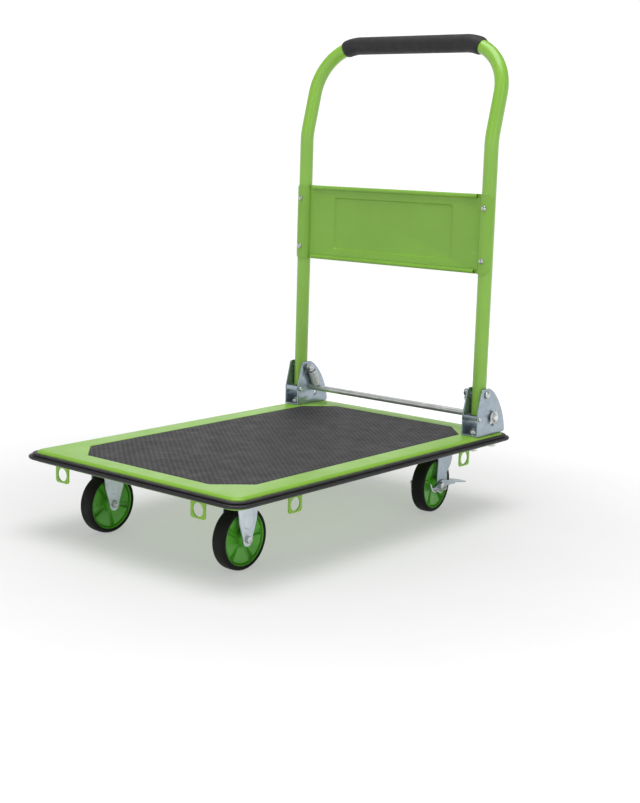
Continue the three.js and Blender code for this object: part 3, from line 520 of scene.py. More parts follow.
def deck_shape():
    rings = [recess_outline(0.3, 137.5), recess_outline(0.5, 138.4), recess_outline(0.9, 139.3)]
    rings += [recess_outline(1.6, 139.85), recess_outline(2.6, DECK_TOP)]
    for i in range(9):
        turn = HALF_PI * (1 - i / 8)
        z = DECK_TOP - EDGE_DROP + EDGE_DROP * math.sin(turn)
        rings.append(deck_outline(-EDGE_WIDTH * (1 - math.cos(turn)), z))
    rings += [deck_outline(0, 123), deck_outline(0, 121.9), deck_outline(-0.4, SKIRT_BOTTOM)]
    rings += [deck_outline(-1.6, SKIRT_BOTTOM), deck_outline(-2, 121.9), deck_outline(-2, 134)]
    rings += [deck_outline(-3, 137), deck_outline(-6, 138), recess_outline(4.6, 138)]
    rings += [recess_outline(3.2, 137.6), recess_outline(2.2, 136.4), recess_outline(2.0, 135.5)]
    return loft(rings)


def mat_shape():
    return loft([recess_outline(0, 137.8), recess_outline(0, 139.3), recess_outline(-0.5, 139.8)])


def bumper_shape():
    """The bumper's section, from its bore out along the underside and back over both ribs."""
    section = [(0.3, 126.3), (1.0, 126.0), (9.5, 126.0), (11.8, 126.4), (13.3, 127.4), (14.0, 128.9)]
    section += [(13.8, 130.3), (12.8, 131.4), (11.0, 131.8), (8.6, 131.6), (6.6, 131.3), (6.3, 131.8)]
    section += [(7.2, 132.5), (8.0, 133.3), (8.0, 134.3), (7.4, 135.1), (6.2, 135.6)]
    section += [(1.0, 135.6), (0.3, 135.3)]
    return loft([deck_outline(outset, z) for outset, z in section], around=True)


def cross_member_shape(centre):
    """A hat channel: the web is down, against the caster plates, and the flanges are up."""
    bottom, top, sheet = 128.3, 135.2, 1.5
    half = [(44.5, bottom), (46.0, bottom + 1.2), (46.6, top - sheet), (60, top - sheet), (60, top)]
    half += [(45.4, top), (44.5, top - 1), (43.9, bottom + sheet)]
    outline = half + [(-x, z) for x, z in reversed(half)]
    shape = plate([(centre + x, z) for x, z in outline], (), 364, 0.2)
    return moved(shape, FACING_Y)


def loop_shape():
    """A tie-down eye drawn about X 0, its top fixed inside the skirt."""
    half, foot = LOOP_HALF_WIDTH, LOOP_BOTTOM
    outline = arc(-half + 5, foot + 5, 5, 180, 270, 6) + arc(half - 5, foot + 5, 5, 270, 360, 6)
    outline += [(half, 133), (-half, 133)]
    return plate(outline, (arc(0, LOOP_Z, LOOP_HOLE, 0, 350, 35),), 2.5, 0.55)


piece("pressed_deck", deck_shape(), GREEN, "deck", ("deck_pan",), 30)
piece("ribbed_mat", mat_shape(), MAT, "deck", ("deck_mat",), 30)
piece("rubber_bumper", bumper_shape(), BUMPER, "deck", ("edge_bumper",), 60)
piece("front_cross_channel", cross_member_shape(265), GREEN, "deck", ("cross_member_front",))
piece("rear_cross_channel", cross_member_shape(-259), GREEN, "deck", ("cross_member_rear",))

for side_name, side in SIDES:
    end_eye = moved(loop_shape(), at(END_LOOP_X, END_LOOP_Y[side_name], 0) @ FACING_X)
    piece(f"end_eye_{side_name}", end_eye, GREEN, "deck", (f"tie_loop_end_{side_name}",))
    for end_name, x in SIDE_LOOP_X:
        eye = moved(loop_shape(), at(x, side * SIDE_LOOP_Y, 0) @ FACING_Y)
        piece(f"side_eye_{side_name}_{end_name}", eye, GREEN, "deck", (f"tie_loop_{side_name}_{end_name}",))

# ---------------------------------------------------------------- hinge brackets

TUBE_Y = 207.0
SPRING_Y = 181.8
PIVOT = (-292.0, 213.4)
ROD = (-315.0, 170.8)
ROD_RADIUS = 5.8
ROD_TRAVEL = 10.0
STOP = (-272.8, 171.4)
BOLT_X = (-281.0, -341.0)
BASE = 140.3
SHEET = 2.5
CHEEK_OFFSET = 15.25
CHANNEL_UNDERSIDE = 118.7
WASHER_Y = 226.3
PIN_Y = 229.0
ROD_HALF_LENGTH = 232


def cheek_outline():
    points = [(-266, BASE), (-266, 177.5), (-276.8, 218.5)]
    points += quadratic((-276.8, 218.5), (-278, 224.5), (-284, 224.5), 6)[1:]
    points += [(-300, 224.5)]
    points += bezier((-300, 224.5), (-322, 219), (-350, 182), (-354.5, 150), 16)[1:]
    points += quadratic((-355.3, 145.3), (-355.3, BASE), (-350.3, BASE), 6)
    return points


def rod_slot():
    """The upright slot that guides the lock rod."""
    r = ROD_RADIUS + 0.5
    x, z = ROD
    return arc(x, z, r, 0, 180, 12) + arc(x, z - ROD_TRAVEL, r, 180, 360, 12)


def bracket_shape(side):
    cheek_holes = (arc(*PIVOT, 5.1, 0, 345, 23), round_hole(3.3, *STOP), rod_slot())
    shapes = []
    for offset in (-CHEEK_OFFSET, CHEEK_OFFSET):
        cheek = plate(cheek_outline(), cheek_holes, SHEET, 0.4)
        shapes.append(moved(cheek, at(0, side * TUBE_Y + offset, 0) @ FACING_Y))
    strip = plate([(-16.2, 169), (16.2, 169), (16.2, 177.5), (-16.2, 177.5)], (), SHEET, 0.5)
    shapes.append(moved(strip, at(-267.25, side * TUBE_Y, 0) @ FACING_X))
    base_x = -307.8
    holes = [round_hole(4.3, x - base_x) for x in BOLT_X]
    base = plate(rounded(41.7, 16.4, 1.5, 3), holes, SHEET, 0.35)
    shapes.append(moved(base, at(base_x, side * TUBE_Y, BASE + SHEET / 2)))
    # The folds between the base and the two cheeks
    for edge in (-1, 1):
        y = side * TUBE_Y + edge * 15.4
        shapes.append(sweep([(-349.5, y, 141.4), (-266.3, y, 141.4)], 1.05, 12))
    return merged(*shapes)


def bracket_bolt_shape():
    """The bolt that holds a bracket, about its own axis: head below the channel, nut and thread above."""
    seat = BASE + 2.8
    return merged(
        moved(hexagon_head(15.0, 6.5, 0.9, 60, True), at(0, 0, seat)),
        moved(threaded(4.0, 39.0), at(0, 0, 114.0)),
        moved(washer(4.2, 8.5, 1.5), at(0, 0, CHANNEL_UNDERSIDE - 1.5)),
        moved(turned_over(hexagon_head(15.0, 5.3)), at(0, 0, CHANNEL_UNDERSIDE - 1.4)),
    )


def pivot_bolt_shape():
    """Domed head outside, nut inside and a grooved stub that holds the spring's hook."""
    head = [(0, 223.9), (5.9, 223.9), (6.5, 224.3), (6.6, 225.3), (6.1, 226.5), (4.6, 227.7)]
    head += [(2.4, 228.3), (0, 228.4)]
    stub = [(0, 178), (3.6, 178), (4.6, 178.7), (4.7, 179.6), (3.9, 180.2), (3.9, 184.6)]
    stub += [(4.7, 185.4), (4.7, 224.2), (0, 224.2)]
    retainer = [(4.4, 178.2), (6.3, 178.2), (6.6, 178.5), (6.6, 179.3), (6.3, 179.6), (4.4, 179.6)]
    return merged(
        lathe(head, 40, around=False),
        lathe(stub, 28, around=False),
        lathe(retainer, 28),
        moved(hexagon_head(13.0, 4.6, 0.8, 60, True), at(0, 0, 185.6)),
    )


def stop_pin_shape():
    ends = [(0, -18.3), (2.6, -18.3), (3.9, -17.8), (4.3, -17.0), (3.0, -16.9), (3.0, 16.9)]
    ends += [(4.3, 17.0), (3.9, 17.8), (2.6, 18.3), (0, 18.3)]
    return lathe(ends, 24, around=False)


def cotter_shape():
    """A split pin about its own hole: a looped eye above and two spread legs below."""
    eye = []
    for a in range(20, 341, 20):
        turn = math.radians(a)
        eye.append((2.6 * math.sin(turn), 0, 10.2 - 2.6 * math.cos(turn)))
    legs = []
    for sign, spread, reach in ((1, 4.2, -12.4), (-1, -4.6, -11.4)):
        x = 0.62 * sign
        bend = (x + spread * 0.35, 0, -8.4)
        legs.append([(x, 0, 7.7), (x, 0, 0), (x, 0, -6.4), bend, (spread, 0, reach)])
    shapes = [sweep(eye, 1.0, 12)]
    shapes += [sweep(leg, 0.95, 10) for leg in legs]
    return merged(*shapes)


SPRING_WIRE = 0.85
SPRING_COIL = 7.3
SPRING_HOOK = 8.8
SPRING_TURNS = 17


def spring_shape(side):
    """An extension spring: a close coil with a hook at the pivot's stub and one at the rod."""
    y = side * SPRING_Y
    top, foot = Vector((PIVOT[0], y, PIVOT[1])), Vector((ROD[0], y, ROD[1]))
    run = (foot - top).normalized()
    across = Vector((0, 1, 0)).cross(run).normalized()
    start, end = SPRING_HOOK, (foot - top).length - SPRING_HOOK

    def hook(centre, radius, angles):
        turns = [math.radians(a) for a in angles]
        return [centre + run * (radius * math.sin(t)) + across * (radius * math.cos(t)) for t in turns]

    points = hook(top, 4.9, range(-200, 31, 20))
    steps = 24
    count = SPRING_TURNS * steps
    for i in range(count + 1):
        turn = 2 * math.pi * i / steps
        round_axis = across * math.cos(turn) + Vector((0, 1, 0)) * math.sin(turn)
        points.append(top + run * (start + (end - start) * i / count) + round_axis * SPRING_COIL)
    points += hook(foot, 6.8, range(-30, 201, 20))
    return sweep(points, SPRING_WIRE, 8), top, foot


for side_name, side in SIDES:
    piece(f"bracket_{side_name}", bracket_shape(side), ZINC, "deck", (f"hinge_bracket_{side_name}",), 35)
    for end_name, x in zip(("front", "rear"), BOLT_X):
        bolt = moved(bracket_bolt_shape(), at(x, side * TUBE_Y, 0) @ turned(random.uniform(0, 1), "Z"))
        held_node = f"bracket_bolt_{side_name}_{end_name}"
        piece(f"deck_bolt_{side_name}_{end_name}", bolt, SATIN, "deck", (held_node,))
    outward = AXLE_ALONG_Y if side > 0 else turned(math.pi, "X") @ AXLE_ALONG_Y
    pivot = moved(pivot_bolt_shape(), at(PIVOT[0], 0, PIVOT[1]) @ outward)
    piece(f"hinge_bolt_{side_name}", pivot, STEEL, "deck", (f"pivot_bolt_{side_name}",))
    stop = moved(stop_pin_shape(), at(STOP[0], side * TUBE_Y, STOP[1]) @ AXLE_ALONG_Y)
    piece(f"stop_rivet_{side_name}", stop, STEEL, "deck", (f"stop_pin_{side_name}",))
    ring = moved(washer(6.1, 11.5, 1.6), at(ROD[0], side * WASHER_Y - 0.8, ROD[1]) @ AXLE_ALONG_Y)
    piece(f"guide_washer_{side_name}", ring, SATIN, "lock_rod", (f"rod_washer_{side_name}",))
    pin = moved(cotter_shape(), at(ROD[0], side * PIN_Y, ROD[1]) @ turned(0.1 * side, "Y"))
    piece(f"split_pin_{side_name}", pin, STEEL, "lock_rod", (f"cotter_pin_{side_name}",), 60)
    coil, hooked, held = spring_shape(side)
    spring = piece(f"coil_spring_{side_name}", coil, SATIN, None, (f"lock_spring_{side_name}",), 80)
    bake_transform(spring)

rod_place = at(ROD[0], -ROD_HALF_LENGTH, ROD[1]) @ AXLE_ALONG_Y
long_rod = moved(rod(ROD_RADIUS, 2 * ROD_HALF_LENGTH, 36, 1.2), rod_place)
piece("push_rod", long_rod, SATIN, "lock_rod", ("lock_rod",))

# ---------------------------------------------------------------- handle

TUBE_RADIUS = 12.5
KINK_Z = 658.0
KINK_RADIUS = 100.0
TOP_BAR = (-335.0, 823.0)
CORNER_RADIUS = 90.0
TUBE_BOTTOM = 176.5
KINK_ANGLE = math.atan2(PIVOT[0] - TOP_BAR[0], TOP_BAR[1] - KINK_Z)
RISE = Vector((-math.sin(KINK_ANGLE), 0, math.cos(KINK_ANGLE)))


def corner_points(side, start=0.0, steps=22):
    """The bend between a side tube and the top bar, from an angle in degrees up to the bar."""
    centre = Vector((TOP_BAR[0], side * (TUBE_Y - CORNER_RADIUS), TOP_BAR[1])) - RISE * CORNER_RADIUS
    inward = Vector((0, -side, 0))
    points = []
    for i in range(steps + 1):
        turn = math.radians(start + (90 - start) * i / steps)
        rise, reach = CORNER_RADIUS * math.sin(turn), CORNER_RADIUS * math.cos(turn)
        points.append(centre + RISE * rise - inward * reach)
    return points


def leg_points(side):
    bend_start = KINK_Z - KINK_RADIUS * math.tan(KINK_ANGLE / 2)
    y = side * TUBE_Y
    heights = (0, 1, 60, 200, 340, bend_start - TUBE_BOTTOM - 4)
    points = [Vector((PIVOT[0], y, TUBE_BOTTOM + k)) for k in heights]
    for i in range(9):
        turn = KINK_ANGLE * i / 8
        x = PIVOT[0] - KINK_RADIUS * (1 - math.cos(turn))
        points.append(Vector((x, y, bend_start + KINK_RADIUS * math.sin(turn))))
    return points


def handle_shape():
    left = leg_points(1) + corner_points(1)
    right = leg_points(-1) + corner_points(-1)
    return sweep(left + right[::-1], TUBE_RADIUS, 32, 11.0)


def grip_shape():
    left = corner_points(1, 67.5, 12)
    right = corner_points(-1, 67.5, 12)
    straight = [Vector((TOP_BAR[0], y, TOP_BAR[1])) for y in range(90, -91, -30)]
    path = left + straight + right[::-1]
    radii = [16.0] * len(path)
    for i, inset in enumerate((1.6, 0.5, 0.1)):
        radii[i] -= inset
        radii[-1 - i] -= inset
    return sweep(path, radii, 40, 12.8)


PANEL_FRONT = -277.7
PANEL_FACE = -290.5
HEM_RADIUS = 3.9
PANEL_BOTTOM = 425.5
PANEL_TOP = 564.0
PANEL_SHEET = 1.5
WRAP_INNER = 12.8
WRAP_OUTER = WRAP_INNER + PANEL_SHEET
SHEET_HALF_WIDTH = 193.4
HEM_ENDS = 185.7


def wrap_shape(side):
    """The part of the panel that is wrapped round one tube, with sloping outer corners."""
    rings = []
    inward, outward, steps = -86, 68, 26
    for i in range(steps + 1):
        turn = math.radians(inward + (outward - inward) * i / steps)
        trim = max(0.0, 0.72 * (WRAP_OUTER * math.sin(turn) - 3) - 1)
        across = [(WRAP_OUTER, 0.3), (14.0, 0.0), (13.1, 0.0), (WRAP_INNER, 0.3)]
        section = [(radius, PANEL_TOP - trim - inset) for radius, inset in across]
        section += [(radius, PANEL_BOTTOM + trim + inset) for radius, inset in reversed(across)]
        rings.append([
            (PIVOT[0] + radius * math.cos(turn), side * (TUBE_Y + radius * math.sin(turn)), z)
            for radius, z in section
        ])
    return loft(rings)


def panel_shape():
    """A sheet set back between the tubes, with a pressed recess and two hems rolled forward."""
    middle = (PANEL_TOP + PANEL_BOTTOM) / 2
    half_z = (PANEL_TOP - PANEL_BOTTOM) / 2

    def ring(half_y, half_height, radius, x):
        return [(x, y, middle + z) for y, z in rounded(half_y, half_height, radius, 6)]

    rear = PANEL_FACE - PANEL_SHEET
    recess = [(135.0, 0.8, 0.0), (134.5, 0.4, 0.2), (133.9, -0.2, 1.0)]
    recess += [(133.1, -1.0, 2.1), (132.5, -1.6, 2.8), (131.8, -2.3, 3.0)]
    front = [ring(SHEET_HALF_WIDTH, half_z, 0.4, PANEL_FACE)]
    back = [ring(SHEET_HALF_WIDTH, half_z, 0.4, rear)]
    for half_y, shrink, depth in recess:
        front.append(ring(half_y, 48 + shrink, 5, PANEL_FACE - depth))
        back.append(ring(half_y + 0.8, 48.8 + shrink, 5.6, rear - depth))
    shapes = [loft(back[::-1] + front), wrap_shape(1), wrap_shape(-1)]
    hem_radii = [HEM_RADIUS - 0.3] + 3 * [HEM_RADIUS] + [HEM_RADIUS - 0.3]
    for z in (PANEL_TOP - HEM_RADIUS, PANEL_BOTTOM + HEM_RADIUS):
        stations = (-HEM_ENDS, 0.3 - HEM_ENDS, 0, HEM_ENDS - 0.3, HEM_ENDS)
        path = [(PANEL_FACE + 2.6, y, z) for y in stations]
        shapes.append(sweep(path, hem_radii, 28, 2.4, (0, 0, 1)))
    return merged(*shapes)


def panel_screw_shape():
    """A pan head with a cross recess, which faces along Z."""
    steps = 48
    rings = []
    section = [(4.6, 0), (4.7, 0.5), (4.4, 1.4), (3.5, 2.1), (2.3, 2.5), (1.4, 2.6), (0.01, 2.6)]
    for radius, height in section:
        ring = []
        for i in range(steps):
            angle = 2 * math.pi * i / steps
            across = min(abs(math.sin(angle)), abs(math.cos(angle))) * radius
            depth = 1.0 if across < 0.45 and radius < 2.9 else 0.0
            ring.append((radius * math.cos(angle), radius * math.sin(angle), height - depth))
        rings.append(ring)
    return merged(loft(rings), moved(rod(2.2, 9, 16, 0.4), at(0, 0, -8.5)))


piece("handle_frame", handle_shape(), TUBE_GREEN, "handle", ("handle_tube",), 50)
grip = piece("grip_sleeve", grip_shape(), FOAM, "handle", ("foam_grip",), 50)
piece("pressed_panel", panel_shape(), SHADED_PANEL_GREEN, "handle", ("back_panel",), 30)
for side_name, side in SIDES:
    for level, z in (("upper", 540), ("lower", 449)):
        place = at(PANEL_FRONT + 0.3, side * TUBE_Y, z) @ FACING_X @ turned(random.uniform(0, 1.5), "Z")
        screw = moved(panel_screw_shape(), place)
        screw_node = f"panel_screw_{side_name}_{level}"
        piece(f"pan_screw_{side_name}_{level}", screw, STEEL, "handle", (screw_node,), 30)

# ---------------------------------------------------------------- casters

AXLE_Z = 50.0
CASTER_Y = 148.0
FRONT_X = 265.0
SWIVEL_X = -261.0
TRAIL = 26.0
SWIVEL_ANGLE = math.radians(5.5)
PLATE_TOP = 128.0
LEG_INNER = 15.2
LEG_OUTER = 17.7
YOKE_TOP = 118.0
CASTER_SHEET = 2.5
PEDAL_SHEET = 2.2
AXLE_HOLE = 4.3
PLATE_HOLE_X = 34
PLATE_HOLE_Y = 22


def tyre_shape():
    """A broad flat tread with round shoulders and a narrow wall that slopes in to the hub."""
    half = [(42.6, 11.0), (43.1, 11.8), (44.0, 12.6), (45.0, 12.95), (46.1, 12.7), (47.3, 11.9)]
    half += [(48.3, 10.7), (49.1, 9.3), (49.6, 7.8), (49.85, 6.0), (49.95, 3.0)]
    profile = half + [(50.0, 0)] + [(r, -y) for r, y in reversed(half)]
    return lathe(profile, 144)


PADS = 5
PAD_GAP = 5.6


def pad_shape(face):
    """One of the raised wedges in a hub's dished face, with soft edges, about the X direction."""
    left = [(-1, 0), (-0.95, 0.6), (-0.86, 1), (-0.55, 1), (-0.2, 1)]
    across = left + [(-fraction, rise) for fraction, rise in reversed(left)]
    outward = [(12.4, 0), (13.0, 0.7), (14.2, 1), (18, 1), (23, 1), (28, 1), (33, 1), (37.2, 1)]
    outward += [(38.9, 0.8), (39.9, 0.35)]
    points, faces = [], []
    for radius, rise_out in outward:
        half_angle = math.pi / PADS - math.asin(PAD_GAP / 2 / radius)
        crest = 4.0 + 6.2 * max(radius - 13, 0) / 26
        for fraction, rise_across in across:
            angle = fraction * half_angle
            height = 2.6 + (crest - 2.6) * min(rise_out, rise_across)
            points.append((radius * math.cos(angle), radius * math.sin(angle), face * height))
    size = len(across)
    for i in range(len(outward) - 1):
        for j in range(size - 1):
            a = i * size + j
            faces.append((a, a + 1, a + size + 1, a + size))
    return points, faces


def hub_shape():
    """A moulded wheel centre: a rim with a thin lip, a recessed web, a boss and five wedges a side."""
    half = [(4.4, 14.7), (8.6, 14.7), (10.4, 14.2), (11.2, 13.0), (11.8, 6.5), (12.4, 3.8), (13.4, 3.2)]
    half += [(37.5, 3.8), (39.2, 4.8), (40.2, 7.0), (40.7, 9.4), (41.1, 11.0)]
    half += [(41.5, 11.4), (42.1, 11.4), (42.4, 11.0)]
    profile = half + [(r, -y) for r, y in reversed(half)]
    shapes = [lathe(profile, 120)]
    for i in range(PADS):
        for face in (1, -1):
            shapes.append(moved(pad_shape(face), turned(2 * math.pi * i / PADS, "Z")))
    return merged(*shapes)


def axle_shape(clamp):
    """Axle bolt along Z: a hexagon head above, a nut and a threaded end below."""
    seat = clamp + 0.3
    return merged(
        moved(hexagon_head(12.4, 4.6, 0.7), at(0, 0, seat)),
        moved(rod(4.0, 2 * seat + 1, 24, 0.4), at(0, 0, -seat - 0.5)),
        moved(turned_over(hexagon_head(12.4, 5.0, 0.7, 60, True)), at(0, 0, -seat)),
        moved(turned_over(threaded(3.9, 7.0)), at(0, 0, -seat)),
    )


def top_plate_shape():
    """The caster's plate, with its four slots, its top at Z 0."""
    slots = []
    for x, y in four_corners(PLATE_HOLE_X, PLATE_HOLE_Y):
        slots.append(arc(x + 2, y, 4.2, -90, 90, 8) + arc(x - 2, y, 4.2, 90, 270, 8))
    return moved(plate(rounded(42.5, 30, 6, 6), slots, CASTER_SHEET, 0.35), at(0, 0, -CASTER_SHEET / 2))


def plate_bolts_shape():
    """The four bolts that hold a caster's plate to its cross channel, heads below. Plate top at Z 0."""
    shapes = []
    for x, y in four_corners(PLATE_HOLE_X, PLATE_HOLE_Y):
        bolt = merged(
            moved(turned_over(hexagon_head(12.6, 4.2)), at(0, 0, -4.3)),
            moved(turned_over(washer(4.1, 7.6, 1.4)), at(0, 0, -2.8)),
            moved(threaded(3.8, 12.0), at(0, 0, -5.0)),
        )
        shapes.append(moved(bolt, at(x, y, 0) @ turned(random.uniform(0, 1), "Z")))
    return merged(*shapes)


def front_leg_outline():
    top = PLATE_TOP - AXLE_Z
    edge = [(24, top - 1), (19, 28), (9.5, 0)]
    return edge + arc(0, -1.6, 9.5, 0, -180, 18) + [(-x, z) for x, z in reversed(edge)]


def front_fork_shape():
    """Two tapering legs bent down from the plate, each with a raised rib that fades out downwards."""
    top = PLATE_TOP - AXLE_Z
    shapes = [moved(top_plate_shape(), at(0, 0, top))]
    for side in (1, -1):
        middle = side * (LEG_INNER + LEG_OUTER) / 2
        leg = plate(front_leg_outline(), (round_hole(AXLE_HOLE),), CASTER_SHEET, 0.35)
        shapes.append(moved(leg, at(0, middle, 0) @ FACING_Y))
        rings = []
        for inset, lift in ((-0.6, -0.05), (0.0, 0.2), (0.7, 0.8), (1.4, 1.3), (2.6, 1.45)):
            outline = [(14.1 - inset, top - 6.5), (10.1 - inset, 22)]
            outline += quadratic((10.1 - inset, 22), (0, 10.5 + 1.3 * inset), (-10.1 + inset, 22), 12)[1:]
            outline += [(-14.1 + inset, top - 6.5)]
            rings.append([(x, side * (LEG_OUTER + lift), z) for x, z in outline])
        shapes.append(loft(rings, cap_start=False))
        # The curve between the leg and the plate
        radius, near, far = 2.2, side * (LEG_OUTER - 0.6), side * (LEG_OUTER + 2.2)
        fillet = [(near, 73.0)]
        for i in range(6):
            turn = HALF_PI * i / 5
            y = side * (LEG_OUTER + radius - radius * math.cos(turn))
            fillet.append((y, 73.4 + radius * math.sin(turn)))
        fillet += [(far, 76.4), (near, 76.4)]
        shapes.append(moved(plate(fillet, (), 46.5, 0.1), FACING_X))
    return merged(*shapes)


def swivel_leg_outline():
    top = YOKE_TOP - AXLE_Z
    points = [(4.5, top - 1), (7.5, 3)]
    points += quadratic((7.5, 3), (8, -5), (1, -5.8))[1:]
    points += [(-23, -7)] + quadratic((-23, -7), (-28, -7), (-28, -2))[1:]
    points += [(-27.5, 19)] + quadratic((-27.5, 19), (-38, 28), (-43, 38))[1:]
    points += quadratic((-43, 38), (-47, 50), (-46, top - 1))[1:]
    return points


def swivel_fork_shape():
    shapes = []
    for side in (1, -1):
        middle = side * (LEG_INNER + LEG_OUTER) / 2
        leg = plate(swivel_leg_outline(), (round_hole(AXLE_HOLE),), CASTER_SHEET, 0.35)
        shapes.append(moved(leg, at(0, middle, 0) @ FACING_Y))
    kingpin_hole = arc(-TRAIL, 0, 6, 0, 345, 23)
    yoke = plate(rounded(25.2, 17.6, 3, 4, (-20.75, 0)), (kingpin_hole,), CASTER_SHEET, 0.35)
    shapes.append(moved(yoke, at(0, 0, 66.75)))
    crown = [(6.2, 65.6), (23.0, 65.6), (23.9, 66.4), (23.9, 67.4), (22.6, 68.0), (6.2, 68.0)]
    shapes.append(moved(lathe(crown, 64), at(-TRAIL, 0, 0)))
    return merged(*shapes)


def race_shape():
    """The swivel head's fixed half: a bowl over the ball race and the peened kingpin, about its axis."""
    z = PLATE_TOP
    bowl = [(0, z - 2.8), (21.6, z - 2.8), (22.6, z - 3.6), (23.0, z - 5.4), (22.8, z - 7.2), (21.4, z - 8.6)]
    bowl += [(19.6, z - 9.4), (17.6, z - 9.6), (5.5, z - 9.6), (5.5, z - 12.9), (8.6, z - 12.9)]
    bowl += [(8.9, z - 13.6), (7.6, z - 15.6), (4.6, z - 16.7), (0, z - 16.8)]
    return lathe(bowl, 72, around=False)


def pedal_lower_edge():
    """The scalloped lower edge of a pedal's cheek, from its front tip back towards the blade."""
    points = [(36.6, 7.4), (32, -3)] + quadratic((32, -3), (26, -10), (18, -7.5))[1:]
    points += quadratic((18, -7.5), (12, -7), (9, -11))[1:]
    points += quadratic((9, -11), (2, -15), (-5, -10.5), 10)[1:]
    points += quadratic((-5, -10.5), (-9, -8), (-14, -10.5))[1:]
    points += quadratic((-14, -10.5), (-21, -11), (-25, -5))[1:]
    return points


def lip_shape(side, y, reach):
    """The lower edge turned outwards into a narrow lip."""
    edge = pedal_lower_edge()
    rings = []
    for i, (x, z) in enumerate(edge):
        before, after = edge[max(i - 1, 0)], edge[min(i + 1, len(edge) - 1)]
        run = Vector((after[0] - before[0], after[1] - before[1])).normalized()
        up = Vector((run.y, -run.x))
        taper = min(1.0, (i + 1) / 4, (len(edge) - i) / 4)
        rings.append([
            (x, side * y, z),
            (x, side * (y + reach * taper), z - 0.3),
            (x + up.x * 0.5, side * (y + (reach + 0.35) * taper), z + up.y * 0.5),
            (x + up.x * 1.1, side * (y + reach * taper), z + up.y * 1.1),
            (x + up.x * 1.7, side * (y + reach * 0.4 * taper), z + up.y * 1.7),
            (x + up.x * 2.9, side * y, z + up.y * 2.9),
        ])
    return loft(rings)


def pedal_shape():
    """Scalloped cheeks with a lip round the axle, arms beside the tyre and a lens-shaped foot blade."""
    outline = [(34, 9), (37, 8)] + pedal_lower_edge()[1:]
    outline += [(-56, -7.2), (-56, -2), (-28, 4.4), (-10, 8)] + quadratic((-10, 8), (2, 9), (9, 2))[1:]
    outline += quadratic((9, 2), (20, -3), (28, 0))[1:]
    shapes = []
    inner = LEG_OUTER + 0.5
    outer = inner + PEDAL_SHEET
    for side in (1, -1):
        cheek = plate(outline, (round_hole(AXLE_HOLE),), PEDAL_SHEET, 0.4)
        shapes.append(moved(cheek, at(0, side * (inner + outer) / 2, 0) @ FACING_Y))
    root = -53.5
    half = [(root, outer), (-78, 18.9)] + quadratic((-104, 17), (-119, 14), (-119, 0), 12)
    edge = half + [(x, -y) for x, y in reversed(half[:-1])]
    rings = []
    section = [(3.4, -1.2), (1.3, -2.1), (0.4, -1.9), (0.0, -1.1), (0.3, -0.2), (1.2, 0.2), (2.6, 0.15)]
    for inset, z in section + [(7.0, -0.5)]:
        ring = []
        for x, y in edge:
            along = min(1.0, (x - root) / -30)
            ring.append((x + inset * along * max(0.0, (-x - 95) / 24), y * (1 - inset / 20), z))
        rings.append(ring)
    tilt = at(root, 0, -2.6) @ turned(math.radians(-11), "Y") @ at(-root, 0, 0)
    shapes.append(moved(loft(rings), tilt))
    return merged(*shapes)


def add_wheel(name, place, body, phase):
    spun = place @ AXLE_ALONG_Y @ turned(phase, "Z")
    piece(f"{name}_tread", moved(tyre_shape(), spun), TYRE, body, (f"{name}_tyre",), 60)
    piece(f"{name}_centre", moved(hub_shape(), spun), HUB, body, (f"{name}_hub",), 40)


for side_name, side in SIDES:
    facing = Matrix.Identity(4) if side > 0 else turned(math.pi, "Z")
    fixed = at(FRONT_X, side * CASTER_Y, AXLE_Z) @ facing
    fork = moved(front_fork_shape(), fixed)
    piece(f"fixed_fork_{side_name}", fork, PALE_ZINC_PAINTED_LIGHT, "deck", (f"front_fork_{side_name}",))
    axle = moved(axle_shape(LEG_OUTER), fixed @ AXLE_ALONG_Y @ turned(0.4, "Z"))
    piece(f"fixed_axle_{side_name}", axle, STEEL, "deck", (f"front_axle_{side_name}",))
    phase = math.radians(8 if side > 0 else 50)
    add_wheel(f"front_{side_name}", fixed, f"front_wheel_{side_name}", phase)
    front_bolts = moved(plate_bolts_shape(), at(FRONT_X, side * CASTER_Y, PLATE_TOP))
    piece(f"front_plate_bolts_{side_name}", front_bolts, STEEL, "deck")

    head = at(SWIVEL_X, side * CASTER_Y, 0)
    top_plate = moved(top_plate_shape(), head @ at(0, 0, PLATE_TOP))
    piece(f"swivel_plate_{side_name}", top_plate, ZINC, "deck", (f"rear_top_plate_{side_name}",))
    piece(f"swivel_head_{side_name}", moved(race_shape(), head), ZINC, "deck", (f"rear_race_{side_name}",))
    rear_bolts = moved(plate_bolts_shape(), head @ at(0, 0, PLATE_TOP))
    piece(f"rear_plate_bolts_{side_name}", rear_bolts, STEEL, "deck")
    swung = head @ turned(side * SWIVEL_ANGLE, "Z") @ at(TRAIL, 0, AXLE_Z)
    body = f"swivel_{side_name}"
    fork = moved(swivel_fork_shape(), swung)
    piece(f"swivel_fork_{side_name}", fork, ZINC, body, (f"rear_fork_{side_name}",))
    axle = moved(axle_shape(LEG_OUTER + 2.7), swung @ AXLE_ALONG_Y @ turned(0.9, "Z"))
    piece(f"swivel_axle_{side_name}", axle, STEEL, body, (f"rear_axle_{side_name}",))
    pedal = moved(pedal_shape(), swung)
    piece(f"foot_brake_{side_name}", pedal, PEDAL_STEEL, f"pedal_{side_name}", (f"brake_pedal_{side_name}",))
    # The turned-out lips are in bright satin steel, much paler than the pedal sheet they belong to: a painted
    # highlight along the pedal's lower edge.
    lips = merged(lip_shape(1, LEG_OUTER + 2.4, 3.0), lip_shape(-1, LEG_OUTER + 2.4, 3.0))
    piece(f"brake_lips_painted_highlight_{side_name}", moved(lips, swung), SATIN, f"pedal_{side_name}")
    phase = math.radians(20 if side > 0 else 64)
    add_wheel(f"rear_{side_name}", swung, f"rear_wheel_{side_name}", phase)

